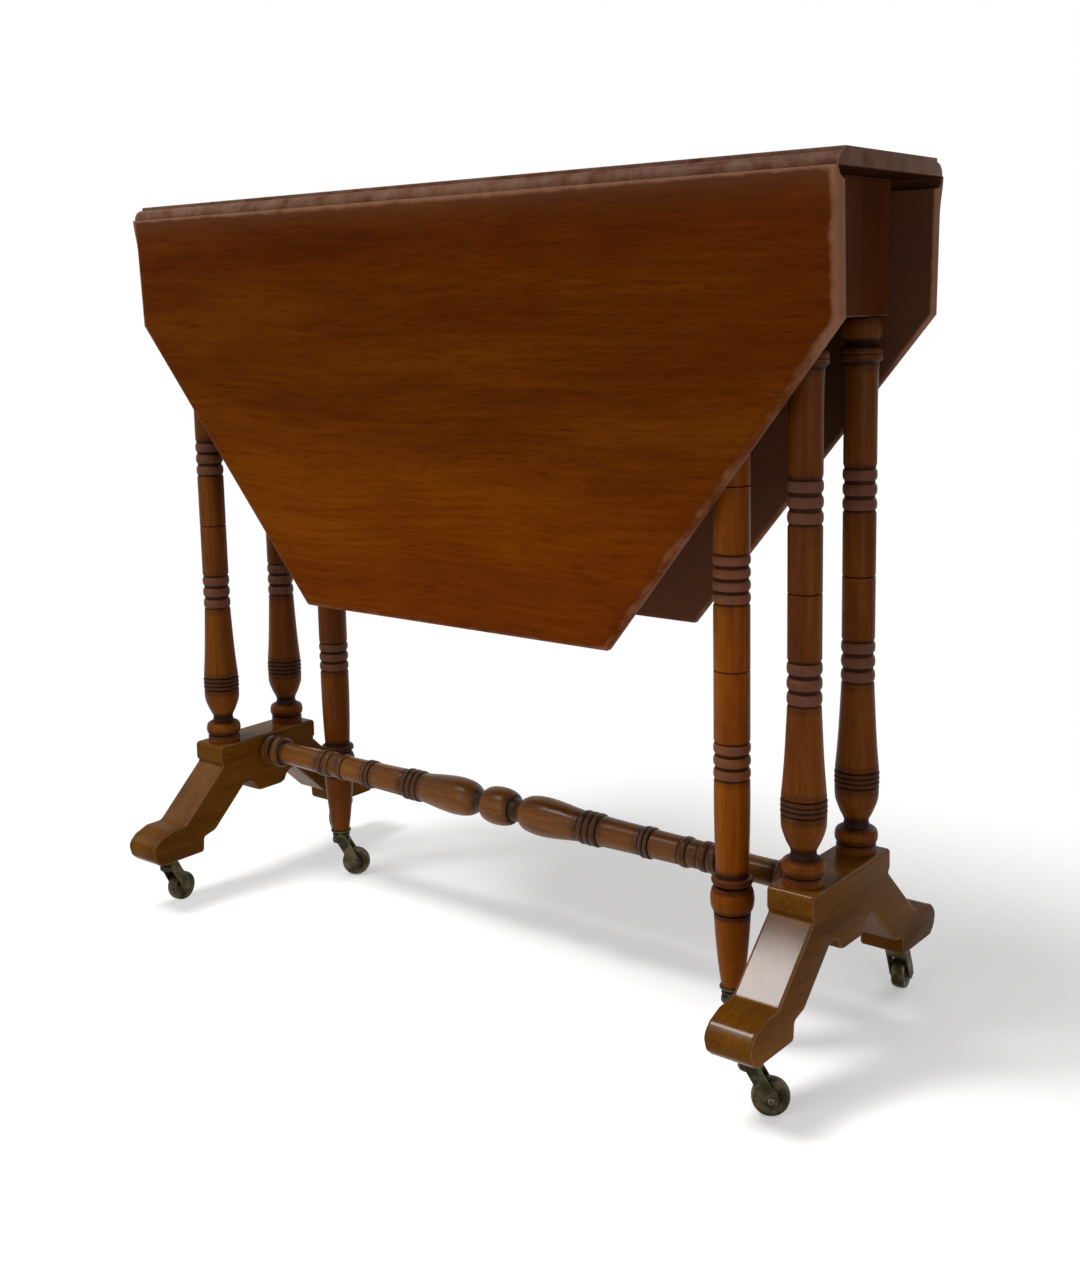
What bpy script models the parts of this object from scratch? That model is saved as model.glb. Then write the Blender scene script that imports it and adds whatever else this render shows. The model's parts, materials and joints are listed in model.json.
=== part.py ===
# A Sutherland table: a narrow centre top on two turned trestles, two drop leaves on rule joints,
# and two swing legs that carry the raised leaves. Metres, +Z up, origin on the floor under the middle.
# +X runs along the table. The front leaf hangs on the -Y side, and the back half of the table is the
# front half turned half a turn about Z.

import math

import bmesh
import bpy
from mathutils import Matrix, Vector

# Whole table
TABLE_HEIGHT = 0.700
TOP_LENGTH = 0.774
CLOSED_WIDTH = 0.173
BOARD_THICKNESS = 0.0135
SEAM = 0.0003
BORE_CLEARANCE = 0.0003

# Rule joint along each long edge of the centre top
OVOLO_RADIUS = 0.0095
LIP_HEIGHT = 0.0030
COVE_CLEARANCE = 0.0005
RULE_ARC_STEPS = 6

# Drop leaves, measured down the leaf from the hinge axis
LEAF_DROP = 0.3685
LEAF_SIDE = 0.1045
LEAF_CLIP = 0.2125
LEAF_EDGE_ROUND = 0.0060
LEAF_REST_TILT = math.radians(2.1)
LEAF_STOP_GAP = 0.0005

# Back-flap hinges under the rule joints
HINGE_PLACE = 0.200
HINGE_WIDTH = 0.060
HINGE_FLAP = 0.017
HINGE_LEAF_FLAP = 0.030
HINGE_THICKNESS = 0.0014
HINGE_KNUCKLE = 0.020
HINGE_PIN_RADIUS = 0.0012
HINGE_NOTCH = 0.002
HINGE_GROOVE_CLEARANCE = 0.0006

# End boards and rails under the top
TRESTLE_INSET = 0.046
END_BOARD_THICKNESS = 0.022
END_BOARD_HEIGHT = 0.1035
LONG_RAIL_THICKNESS = 0.013
LONG_RAIL_SPACING = 0.0194
RAIL_HEIGHT = 0.068
RAIL_DROP = 0.003

# Swing legs: a fly rail on a wooden knuckle, with a turned leg at its end
FLY_RAIL_THICKNESS = 0.020
KNUCKLE_BLOCK_LENGTH = 0.120
KNUCKLE_CLEARANCE = 0.0005
GATE_PIN_RADIUS = 0.0025
FRONT_GATE_INSET = 0.067
BACK_GATE_INSET = 0.084
GATE_BLOCK_SIZE = 0.030
GATE_BLOCK_HEIGHT = 0.095
GATE_SHAFT_RADIUS = 0.0144
GATE_RING_RADIUS = 0.0151
GATE_BULB_RADIUS = 0.0178
GATE_TIP_RADIUS = 0.0088
GATE_UPPER_BAND = 0.3840
GATE_UPPER_BAND_HEIGHT = 0.040
GATE_LOWER_BAND = 0.2385
GATE_LOWER_BAND_HEIGHT = 0.031
GATE_COLLAR = 0.1395
GATE_BULB_HEIGHT = 0.022

# Turned columns, two on each trestle
COLUMN_SPREAD = 0.0435
COLUMN_TENON_RADIUS = 0.007
COLUMN_TENON_LENGTH = 0.020
COLUMN_SHAFT_RADIUS = 0.0130
COLUMN_RING_RADIUS = 0.0138
COLUMN_CAP_RADIUS = 0.0168
COLUMN_VASE_RADIUS = 0.0180
COLUMN_WAIST_RADIUS = 0.0100
COLUMN_BASE_RADIUS = 0.0174
COLUMN_BAND_HEIGHT = 0.035
COLUMN_UPPER_BAND = 0.4490
COLUMN_LOWER_BAND = 0.3115
TURNING_STEPS = 12
SCRIBE_DEPTH = 0.0007

# Trestle feet, in the YZ plane: a platform, two sloping arms and two toes
FOOT_TOP = 0.1534
FOOT_THICKNESS = 0.040
PLATFORM_REACH = 0.0652
PLATFORM_HEIGHT = 0.0172
SLOPE_INSET = 0.003
TOE_REACH = 0.1555
TOE_HEIGHT = 0.0327
TOE_LENGTH = 0.0632
ARCH_HEIGHT = 0.107
PENDANT_HALF_WIDTH = 0.0135
PENDANT_DROP = 0.0133
FOOT_EDGE_ROUND = 0.002

# Turned stretcher between the feet
STRETCHER_HEIGHT = 0.136
STRETCHER_TENON_RADIUS = 0.007
STRETCHER_TENON_LENGTH = 0.020
STRETCHER_END_RADIUS = 0.0115
STRETCHER_VASE_RADIUS = 0.0178
STRETCHER_BALL_RADIUS = 0.0185
STRETCHER_NECK_RADIUS = 0.0107
STRETCHER_RING_RADIUS = 0.0158

# Casters: a fixed plate with a riveted stem, a raked horn that swivels on it, an axle and a wheel
CASTER_INSET = 0.0330
CASTER_TRAIL = 0.015
WHEEL_RADIUS = 0.0145
WHEEL_WIDTH = 0.013
WHEEL_STEPS = 16
AXLE_RADIUS = 0.002
CASTER_PLATE_RADIUS = 0.0105
CASTER_PLATE_THICKNESS = 0.0022
CASTER_BOSS_RADIUS = 0.0070
CASTER_BOSS_HEIGHT = 0.0005
CROWN_RADIUS = 0.0094
CROWN_HEIGHT = 0.0105
CROWN_ABOVE_WHEEL = 0.0075
STEM_RADIUS = 0.003
RIVET_RADIUS = 0.0045
RIVET_HEIGHT = 0.0018
CHEEK_THICKNESS = 0.002
CHEEK_CLEARANCE = 0.0008
CHEEK_END_RADIUS = 0.0055
CASTER_TURNS = {
    "front_left": 97,
    "front_right": 32,
    "back_left": 163,
    "back_right": 100,
    "front_gate": 39,
    "back_gate": 39,
}

# Heights and places that follow from the sizes above
TRESTLE_PLACE = TOP_LENGTH / 2 - TRESTLE_INSET
GATE_REACH = {"front": TRESTLE_PLACE - FRONT_GATE_INSET, "back": TRESTLE_PLACE - BACK_GATE_INSET}
LEAF_TIP_LENGTH = TOP_LENGTH - 2 * LEAF_CLIP
UNDERSIDE = TABLE_HEIGHT - BOARD_THICKNESS
HINGE_Y = CLOSED_WIDTH / 2 - OVOLO_RADIUS - LIP_HEIGHT
HINGE_Z = TABLE_HEIGHT - OVOLO_RADIUS - LIP_HEIGHT
BELOW_HINGE = HINGE_Z - UNDERSIDE
COVE_RADIUS = OVOLO_RADIUS + COVE_CLEARANCE
BOARD_BOTTOM = UNDERSIDE - SEAM - END_BOARD_HEIGHT
KNUCKLE_RADIUS = BELOW_HINGE + SEAM + HINGE_THICKNESS
RAIL_TOP = UNDERSIDE - RAIL_DROP
FLY_RAIL_Y = LONG_RAIL_SPACING / 2 + LONG_RAIL_THICKNESS + SEAM + FLY_RAIL_THICKNESS / 2
GATE_LEG_OFFSET = (GATE_BLOCK_SIZE - FLY_RAIL_THICKNESS) / 2
GATE_LEG_Y = FLY_RAIL_Y + GATE_LEG_OFFSET
CROWN_BOTTOM = 2 * WHEEL_RADIUS + CROWN_ABOVE_WHEEL
CROWN_TOP = CROWN_BOTTOM + CROWN_HEIGHT
PLATE_TOP = CROWN_TOP + SEAM + CASTER_BOSS_HEIGHT + CASTER_PLATE_THICKNESS
TOE_BOTTOM = PLATE_TOP + SEAM
CASTER_REACH = TOE_REACH - CASTER_INSET
COLUMN_BOTTOM = FOOT_TOP + SEAM
COLUMN_TOP = BOARD_BOTTOM - SEAM

# Turns an outline drawn in X and Y so that it stands in Y and Z, with its thickness along X.
STAND_IN_YZ = Matrix(((0, 0, 1, 0), (1, 0, 0, 0), (0, 1, 0, 0), (0, 0, 0, 1)))
# Turns the same outline to stand in X and Z, with its thickness along Y.
STAND_IN_XZ = Matrix.Rotation(math.pi / 2, 4, "X")
ALONG_X = Matrix.Rotation(math.pi / 2, 4, "Y")
ALONG_Y = Matrix.Rotation(-math.pi / 2, 4, "X")
HALF_TURN = math.pi


def clear_scene():
    for old in list(bpy.data.objects):
        bpy.data.objects.remove(old, do_unlink=True)


def principled(name, colour, roughness, metallic=0.0):
    made = bpy.data.materials.new(name)
    made.use_nodes = True
    shader = made.node_tree.nodes["Principled BSDF"]
    shader.inputs["Base Color"].default_value = (*colour, 1.0)
    shader.inputs["Roughness"].default_value = roughness
    shader.inputs["Metallic"].default_value = metallic
    return made


def add_piece(name, mesh, finish, location=(0, 0, 0), rotation=(0, 0, 0), parent=None):
    """A named object of the table, placed by its location, rotation and parent."""
    piece = bpy.data.objects.new(name, mesh)
    if not mesh.materials:
        mesh.materials.append(finish)
    table.objects.link(piece)
    piece.location = location
    piece.rotation_euler = rotation
    piece.parent = parent
    return piece


def finished(bm, name):
    bmesh.ops.recalc_face_normals(bm, faces=bm.faces)
    mesh = bpy.data.meshes.new(name)
    bm.to_mesh(mesh)
    bm.free()
    return mesh


def evaluated_mesh(piece):
    bpy.context.view_layer.update()
    graph = bpy.context.evaluated_depsgraph_get()
    return bpy.data.meshes.new_from_object(piece.evaluated_get(graph))


def box(name, low, high):
    bm = bmesh.new()
    bmesh.ops.create_cube(bm, size=1.0)
    low, high = Vector(low), Vector(high)
    size = high - low
    bmesh.ops.scale(bm, vec=size, verts=bm.verts)
    bmesh.ops.translate(bm, vec=(low + high) / 2, verts=bm.verts)
    return finished(bm, name)


def cylinder(name, radius, length, centre=(0, 0, 0), turn=None, sides=12):
    """A cylinder along Z, or along the axis that turn leaves it on."""
    bm = bmesh.new()
    bmesh.ops.create_cone(bm, cap_ends=True, segments=sides, radius1=radius, radius2=radius, depth=length)
    bmesh.ops.transform(bm, matrix=Matrix.Translation(centre) @ (turn or Matrix()), verts=bm.verts)
    return finished(bm, name)


def extruded(name, outline, thickness, turn):
    """A flat outline filled and given its thickness, then stood up by turn."""
    curve = bpy.data.curves.new(name, "CURVE")
    curve.dimensions = "2D"
    curve.fill_mode = "BOTH"
    curve.extrude = thickness / 2
    spline = curve.splines.new("POLY")
    spline.points.add(len(outline) - 1)
    for point, (across, up) in zip(spline.points, outline):
        point.co = (across, up, 0, 1)
    spline.use_cyclic_u = True
    piece = bpy.data.objects.new(name, curve)
    bpy.context.scene.collection.objects.link(piece)
    bm = bmesh.new()
    bm.from_mesh(evaluated_mesh(piece))
    bpy.data.objects.remove(piece)
    bmesh.ops.remove_doubles(bm, verts=bm.verts, dist=1e-6)
    bmesh.ops.transform(bm, matrix=turn, verts=bm.verts)
    return finished(bm, name)


def turned(name, profile, steps, closed=False):
    """A solid turned about Z from a profile of (radius, height) that runs from its top to its bottom."""
    mesh = bpy.data.meshes.new(name)
    edges = [(i, i + 1) for i in range(len(profile) - 1)]
    if closed:
        edges.append((len(profile) - 1, 0))
    mesh.from_pydata([(radius, 0, height) for radius, height in profile], edges, [])
    piece = bpy.data.objects.new(name, mesh)
    bpy.context.scene.collection.objects.link(piece)
    screw = piece.modifiers.new("turning", "SCREW")
    screw.steps = steps
    screw.render_steps = steps
    screw.use_merge_vertices = True
    screw.merge_threshold = 0.00005
    bm = bmesh.new()
    bm.from_mesh(evaluated_mesh(piece))
    bpy.data.objects.remove(piece)
    bmesh.ops.remove_doubles(bm, verts=bm.verts, dist=1e-6)
    made = finished(bm, name)
    made.shade_smooth()
    made.set_sharp_from_angle(angle=math.radians(40))
    return made


def combined(mesh, others, operation):
    """The mesh after a Boolean with each of the others, DIFFERENCE to cut or UNION to join."""
    helpers = [bpy.data.objects.new("helper", each) for each in [mesh, *others]]
    for helper in helpers:
        bpy.context.scene.collection.objects.link(helper)
    for helper in helpers[1:]:
        step = helpers[0].modifiers.new(operation.lower(), "BOOLEAN")
        step.operation = operation
        step.solver = "EXACT"
        step.object = helper
    made = evaluated_mesh(helpers[0])
    made.name = mesh.name
    for helper in helpers:
        bpy.data.objects.remove(helper)
    return made


def arc(centre, radius, start, end, steps):
    """Points on a circle from one angle to another, in degrees, both ends included."""
    turns = [math.radians(start + (end - start) * i / steps) for i in range(steps + 1)]
    return [(centre[0] + radius * math.cos(a), centre[1] + radius * math.sin(a)) for a in turns]


def bead(top, bottom, edge, crest):
    """A rounded moulding between two heights, swelling from the edge radius to the crest."""
    shares = (0.0, 0.18, 0.5, 0.82, 1.0)
    swells = (0.0, 0.75, 1.0, 0.75, 0.0)
    return [(edge + (crest - edge) * s, top + (bottom - top) * t) for t, s in zip(shares, swells)]


def ring_band(middle, height, count, shaft, crest):
    """A run of rounded rings cut side by side on a shaft."""
    pitch = height / count
    top = middle + height / 2
    points = []
    for i in range(count):
        high = top - i * pitch
        points += [(shaft, high), (crest, high - 0.25 * pitch), (crest, high - 0.75 * pitch)]
    return points + [(shaft, middle - height / 2)]


def scribed_line(height, shaft):
    half = SCRIBE_DEPTH
    return [(shaft, height + half), (shaft - SCRIBE_DEPTH, height), (shaft, height - half)]


def centre_top_mesh():
    """The fixed board between the leaves, with an ovolo and lip down each long edge."""
    ovolo = arc((HINGE_Y, HINGE_Z), OVOLO_RADIUS, 90, 0, RULE_ARC_STEPS)
    right = [(HINGE_Y, TABLE_HEIGHT), *ovolo, (HINGE_Y + OVOLO_RADIUS, UNDERSIDE)]
    left = [(-across, up) for across, up in reversed(right)]
    board = extruded("centre_top", right + left, TOP_LENGTH, STAND_IN_YZ)
    radius = KNUCKLE_RADIUS + HINGE_GROOVE_CLEARANCE
    length = HINGE_WIDTH + 2 * HINGE_GROOVE_CLEARANCE
    grooves = [
        cylinder("groove", radius, length, (x, y, HINGE_Z), ALONG_X)
        for x in (-HINGE_PLACE, HINGE_PLACE)
        for y in (-HINGE_Y, HINGE_Y)
    ]
    return combined(board, grooves, "DIFFERENCE")


def leaf_mesh():
    """A drop leaf laid flat and reaching towards -Y, with the hinge axis at its origin."""
    half, tip = TOP_LENGTH / 2, LEAF_TIP_LENGTH / 2
    outline = [(half, -SEAM), (half, -LEAF_SIDE), (tip, -LEAF_DROP)]
    outline += [(-across, up) for across, up in reversed(outline)]
    bm = bmesh.new()
    face = bm.faces.new([bm.verts.new((*point, -BELOW_HINGE)) for point in outline])
    raised = bmesh.ops.extrude_face_region(bm, geom=[face])["geom"]
    lifted = [item for item in raised if isinstance(item, bmesh.types.BMVert)]
    bmesh.ops.translate(bm, vec=(0, 0, BOARD_THICKNESS), verts=lifted)
    rim = [edge for edge in bm.edges if is_outer_rim(edge)]
    bmesh.ops.bevel(bm, geom=rim, offset=LEAF_EDGE_ROUND, segments=2, profile=0.5, affect="EDGES")
    board = finished(bm, "leaf")
    cove = arc((0, 0), COVE_RADIUS, 180, 270, RULE_ARC_STEPS)
    cove = [(-up, -across) for across, up in cove]
    past = OVOLO_RADIUS + BOARD_THICKNESS
    hollow = [(past, COVE_RADIUS), *[(-a, b) for a, b in cove], (-COVE_RADIUS, -past), (past, -past)]
    cutter = extruded("cove", hollow, TOP_LENGTH * 1.1, STAND_IN_YZ)
    return combined(board, [cutter], "DIFFERENCE")


def is_outer_rim(edge):
    """True on the top and bottom edges of a leaf, away from its hinge side."""
    first, second = (vert.co for vert in edge.verts)
    level = abs(first.z - second.z) < SEAM
    at_hinge = first.y > -2 * SEAM and second.y > -2 * SEAM
    return level and not at_hinge


def hinge_flap_mesh(name, reach, notches):
    """One flap of a hinge under the board, reaching along Y from the pin and rolled into knuckles round it."""
    low, high = -KNUCKLE_RADIUS, HINGE_THICKNESS - KNUCKLE_RADIUS
    meeting = math.degrees(math.asin(high / KNUCKLE_RADIUS))
    barrel = arc((0, 0), KNUCKLE_RADIUS, 270, meeting, 10)
    outline = [(abs(reach), low), *barrel, (abs(reach), high)]
    side = math.copysign(1, reach)
    flap = extruded(name, [(side * across, up) for across, up in outline], HINGE_WIDTH, STAND_IN_YZ)
    notch = KNUCKLE_RADIUS + HINGE_NOTCH
    gaps = [box("gap", (start, -notch, 2 * low), (end, notch, -2 * low)) for start, end in notches]
    bore = cylinder("bore", HINGE_PIN_RADIUS + BORE_CLEARANCE, 2 * HINGE_WIDTH, (0, 0, 0), ALONG_X, 10)
    return combined(flap, [*gaps, bore], "DIFFERENCE")


def add_leaves_and_hinges():
    middle = HINGE_KNUCKLE / 2
    open_middle = [(-middle - SEAM, middle + SEAM)]
    open_ends = [(-HINGE_WIDTH, -middle), (middle, HINGE_WIDTH)]
    leaf = leaf_mesh()
    top_flap = hinge_flap_mesh("top_flap", HINGE_FLAP, open_middle)
    leaf_flap = hinge_flap_mesh("leaf_flap", -COVE_RADIUS - HINGE_LEAF_FLAP, open_ends)
    pin = cylinder("hinge_pin", HINGE_PIN_RADIUS, HINGE_WIDTH, (0, 0, 0), ALONG_X, 10)
    down = math.pi / 2 + LEAF_REST_TILT
    for side, turn in (("front", 0), ("back", HALF_TURN)):
        sign = -math.cos(turn)
        add_piece(f"{side}_leaf", leaf, board_wood, (0, sign * HINGE_Y, HINGE_Z), (down, 0, turn))
        for end, x in (("left", -HINGE_PLACE), ("right", HINGE_PLACE)):
            place = (x, sign * HINGE_Y, HINGE_Z)
            add_piece(f"{side}_{end}_hinge_top_flap", top_flap, brass, place, (0, 0, turn))
            add_piece(f"{side}_{end}_hinge_leaf_flap", leaf_flap, brass, place, (down, 0, turn))
            add_piece(f"{side}_{end}_hinge_pin", pin, steel, place, (0, 0, turn))


def end_board_mesh():
    """The upright board that a trestle's columns carry, as wide as the hanging leaves leave room for."""
    depth = (HINGE_Z - BOARD_BOTTOM) * math.tan(LEAF_REST_TILT)
    half = HINGE_Y - BELOW_HINGE / math.cos(LEAF_REST_TILT) - depth - LEAF_STOP_GAP
    low = (-END_BOARD_THICKNESS / 2, -half, BOARD_BOTTOM)
    high = (END_BOARD_THICKNESS / 2, half, BOARD_BOTTOM + END_BOARD_HEIGHT)
    board = box("end_board", low, high)
    depth = COLUMN_TENON_LENGTH + 2 * SEAM
    mortises = [
        cylinder("mortise", COLUMN_TENON_RADIUS + SEAM, 2 * depth, (0, y, BOARD_BOTTOM))
        for y in (-COLUMN_SPREAD, COLUMN_SPREAD)
    ]
    return combined(board, mortises, "DIFFERENCE")


def column_mesh():
    """A turned column: cap bead, collar, two bands of rings, a vase, a waist and a base bead."""
    shaft, ring, cap = COLUMN_SHAFT_RADIUS, COLUMN_RING_RADIUS, COLUMN_CAP_RADIUS
    vase, waist, base = COLUMN_VASE_RADIUS, COLUMN_WAIST_RADIUS, COLUMN_BASE_RADIUS
    top, foot, tenon = COLUMN_TOP, COLUMN_BOTTOM, COLUMN_TENON_RADIUS
    scribe = (COLUMN_UPPER_BAND + COLUMN_LOWER_BAND) / 2
    tenon_top = BOARD_BOTTOM + COLUMN_TENON_LENGTH
    tenon_bottom = FOOT_TOP - COLUMN_TENON_LENGTH
    profile = [(0, tenon_top), (tenon, tenon_top), (tenon, top)]
    profile += bead(top, top - 0.018, 0.8 * cap, cap)
    profile += [(0.88 * shaft, top - 0.021), (cap, top - 0.024), (cap, top - 0.0325)]
    profile += [(1.08 * shaft, top - 0.0355), (shaft, top - 0.065)]
    profile += ring_band(COLUMN_UPPER_BAND, COLUMN_BAND_HEIGHT, 3, shaft, ring)
    profile += scribed_line(scribe, shaft)
    profile += ring_band(COLUMN_LOWER_BAND, COLUMN_BAND_HEIGHT, 3, shaft, ring)
    profile += [(0.55 * shaft + 0.45 * vase, foot + 0.096), (0.97 * vase, foot + 0.070)]
    profile += ring_band(foot + 0.062, 0.012, 2, 0.95 * vase, vase)
    profile += [(0.95 * vase, foot + 0.0445), (0.5 * (vase + waist), foot + 0.0345)]
    profile += [(waist, foot + 0.0265), (1.1 * waist, foot + 0.0210)]
    profile += bead(foot + 0.0195, foot + 0.0075, 0.82 * base, base)
    profile += [(0.92 * base, foot + 0.0062), (0.92 * base, foot)]
    profile += [(tenon, foot), (tenon, tenon_bottom), (0, tenon_bottom)]
    return turned("column", profile, TURNING_STEPS)


def foot_outline():
    """Half of a foot's outline in Y and Z, from the middle of its top round the toe to the middle below."""
    toe_top = TOE_BOTTOM + TOE_HEIGHT
    heel = TOE_REACH - TOE_LENGTH
    ledge = FOOT_TOP - PLATFORM_HEIGHT
    pendant = PENDANT_HALF_WIDTH
    half = [(0, FOOT_TOP), (PLATFORM_REACH, FOOT_TOP), (PLATFORM_REACH, ledge)]
    half += [(PLATFORM_REACH - SLOPE_INSET, ledge - SLOPE_INSET), (TOE_REACH - 0.0402, toe_top)]
    half += [(TOE_REACH - 0.0225, toe_top), (TOE_REACH - 0.0080, toe_top - 0.0055)]
    half += [(TOE_REACH - 0.0018, toe_top - 0.0115), (TOE_REACH, TOE_BOTTOM + 0.0160)]
    half += [(TOE_REACH - 0.0025, TOE_BOTTOM + 0.0065), (TOE_REACH - 0.0095, TOE_BOTTOM)]
    half += [(heel + 0.0020, TOE_BOTTOM), (heel, TOE_BOTTOM + 0.0025), (heel - 0.0010, TOE_BOTTOM + 0.0150)]
    half += [(heel - 0.0155, TOE_BOTTOM + 0.0187), (pendant + 0.0233, ARCH_HEIGHT - 0.0003)]
    half += [(pendant + 0.0165, ARCH_HEIGHT + 0.0005), (pendant + 0.0105, ARCH_HEIGHT - 0.0020)]
    half += [(pendant + 0.0055, ARCH_HEIGHT - 0.0105), (pendant, ARCH_HEIGHT - PENDANT_DROP + 0.0010)]
    half += [(0, ARCH_HEIGHT - PENDANT_DROP)]
    return half


def foot_mesh():
    """A trestle foot sawn from one plank, with mortises for the columns and the stretcher on its +X side."""
    half = foot_outline()
    outline = half + [(-across, up) for across, up in reversed(half[1:-1])]
    plank = extruded("foot", outline, FOOT_THICKNESS, STAND_IN_YZ)
    bm = bmesh.new()
    bm.from_mesh(plank)
    faces = [edge for edge in bm.edges if abs(edge.verts[0].co.x - edge.verts[1].co.x) < SEAM]
    rim = [edge for edge in faces if edge.calc_face_angle(0) > math.radians(60)]
    bmesh.ops.bevel(bm, geom=rim, offset=FOOT_EDGE_ROUND, segments=1, affect="EDGES")
    plank = finished(bm, "foot")
    depth = COLUMN_TENON_LENGTH + 2 * SEAM
    mortises = [
        cylinder("mortise", COLUMN_TENON_RADIUS + SEAM, 2 * depth, (0, y, FOOT_TOP))
        for y in (-COLUMN_SPREAD, COLUMN_SPREAD)
    ]
    depth = STRETCHER_TENON_LENGTH + 2 * SEAM
    place = (FOOT_THICKNESS / 2, 0, STRETCHER_HEIGHT)
    mortises.append(cylinder("mortise", STRETCHER_TENON_RADIUS + SEAM, 2 * depth, place, ALONG_X))
    return combined(plank, mortises, "DIFFERENCE")


def stretcher_mesh():
    """The turned stretcher: a ball at its middle, and each way a vase, a ringed taper and end beads."""
    end = TRESTLE_PLACE - FOOT_THICKNESS / 2 - SEAM
    slim, vase, ball = STRETCHER_END_RADIUS, STRETCHER_VASE_RADIUS, STRETCHER_BALL_RADIUS
    neck, ring, tenon = STRETCHER_NECK_RADIUS, STRETCHER_RING_RADIUS, STRETCHER_TENON_RADIUS
    half = [(0, end + STRETCHER_TENON_LENGTH), (tenon, end + STRETCHER_TENON_LENGTH), (tenon, end)]
    half += bead(end, end - 0.012, 0.8 * ring, ring)
    half += bead(end - 0.0135, end - 0.0245, 0.8 * ring, ring)
    half += [(slim, end - 0.030), (1.02 * slim, 0.245)]
    half += ring_band(0.231, 0.018, 2, 1.02 * slim, 1.14 * slim)
    half += ring_band(0.207, 0.008, 1, 1.05 * slim, 1.16 * slim)
    half += ring_band(0.168, 0.010, 1, 1.10 * slim, 1.22 * slim)
    half += ring_band(0.1075, 0.021, 3, 1.18 * slim, 1.32 * slim)
    half += [(0.80 * vase, 0.090), (0.96 * vase, 0.066), (vase, 0.050), (0.88 * vase, 0.036)]
    half += [(neck, 0.0255), (neck, 0.0205), (0.70 * ball, 0.0150), (0.92 * ball, 0.0085), (ball, 0)]
    mirrored = [(radius, -along) for radius, along in reversed(half[:-1])]
    mesh = turned("stretcher", half + mirrored, TURNING_STEPS)
    mesh.transform(ALONG_X)
    return mesh


def add_trestles():
    column, foot, end_board = column_mesh(), foot_mesh(), end_board_mesh()
    for end, x, turn in (("left", -TRESTLE_PLACE, 0), ("right", TRESTLE_PLACE, HALF_TURN)):
        add_piece(f"{end}_foot", foot, foot_wood, (x, 0, 0), (0, 0, turn))
        add_piece(f"{end}_end_board", end_board, board_wood, (x, 0, 0), (0, 0, turn))
        for side, y in (("front", -COLUMN_SPREAD), ("back", COLUMN_SPREAD)):
            add_piece(f"{side}_{end}_column", column, turned_wood, (x, y, 0))
    add_piece("stretcher", stretcher_mesh(), turned_wood, (0, 0, STRETCHER_HEIGHT))


def knuckle_heights():
    third = RAIL_HEIGHT / 3
    bottom = RAIL_TOP - RAIL_HEIGHT
    return bottom, bottom + third, RAIL_TOP - third, RAIL_TOP


def knuckle_rail(name, length, fingers):
    """A rail along X that starts rounded at the gate's pin, cut away at the other rail's finger heights."""
    bottom, low, high, top = knuckle_heights()
    half = FLY_RAIL_THICKNESS / 2
    side = math.copysign(1, length)
    outline = [(abs(length), -half), (abs(length), half), *arc((0, 0), half, 90, 270, 8)]
    rise = Matrix.Translation((0, 0, (bottom + top) / 2))
    rail = extruded(name, [(side * along, across) for along, across in outline], RAIL_HEIGHT, rise)
    reach = half + KNUCKLE_CLEARANCE
    near, far = sorted((side * reach, -side * 2 * reach))
    gaps = [box("gap", (near, -2 * half, start), (far, 2 * half, end)) for start, end in fingers]
    middle = (0, 0, (bottom + top) / 2)
    bore = cylinder("bore", GATE_PIN_RADIUS + BORE_CLEARANCE, 2 * RAIL_HEIGHT, middle)
    return combined(rail, [*gaps, bore], "DIFFERENCE")


def gate_leg_mesh():
    """The swing leg: a square block at the rail, a ringed shaft, a collar, a bulb and a tapered foot."""
    shaft, ring, bulb, tip = GATE_SHAFT_RADIUS, GATE_RING_RADIUS, GATE_BULB_RADIUS, GATE_TIP_RADIUS
    block_top = UNDERSIDE - SEAM
    block_bottom = block_top - GATE_BLOCK_HEIGHT
    upper, lower = GATE_UPPER_BAND, GATE_LOWER_BAND
    pitch = upper - lower
    into_block = block_bottom + GATE_BLOCK_SIZE / 3
    profile = [(0, into_block), (0.9 * shaft, into_block), (0.9 * shaft, block_bottom - 0.004)]
    profile += bead(block_bottom - 0.006, block_bottom - 0.016, shaft, ring)
    profile += scribed_line(upper + pitch / 2, shaft)
    profile += ring_band(upper, GATE_UPPER_BAND_HEIGHT, 4, shaft, ring)
    profile += scribed_line((upper + lower) / 2, shaft)
    profile += ring_band(lower, GATE_LOWER_BAND_HEIGHT, 3, shaft, ring)
    profile += [(shaft, GATE_COLLAR + 0.005)]
    profile += bead(GATE_COLLAR + 0.003, GATE_COLLAR - 0.003, shaft, 0.94 * bulb)
    profile += bead(GATE_COLLAR - 0.0045, GATE_COLLAR - 0.0045 - GATE_BULB_HEIGHT, 0.85 * bulb, bulb)
    profile += [(tip, PLATE_TOP + SEAM), (0, PLATE_TOP + SEAM)]
    turning = turned("gate_leg", profile, TURNING_STEPS)
    half = GATE_BLOCK_SIZE / 2
    block = box("block", (-half, -half, block_bottom), (half, half, block_top))
    return combined(turning, [block], "UNION")


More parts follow.
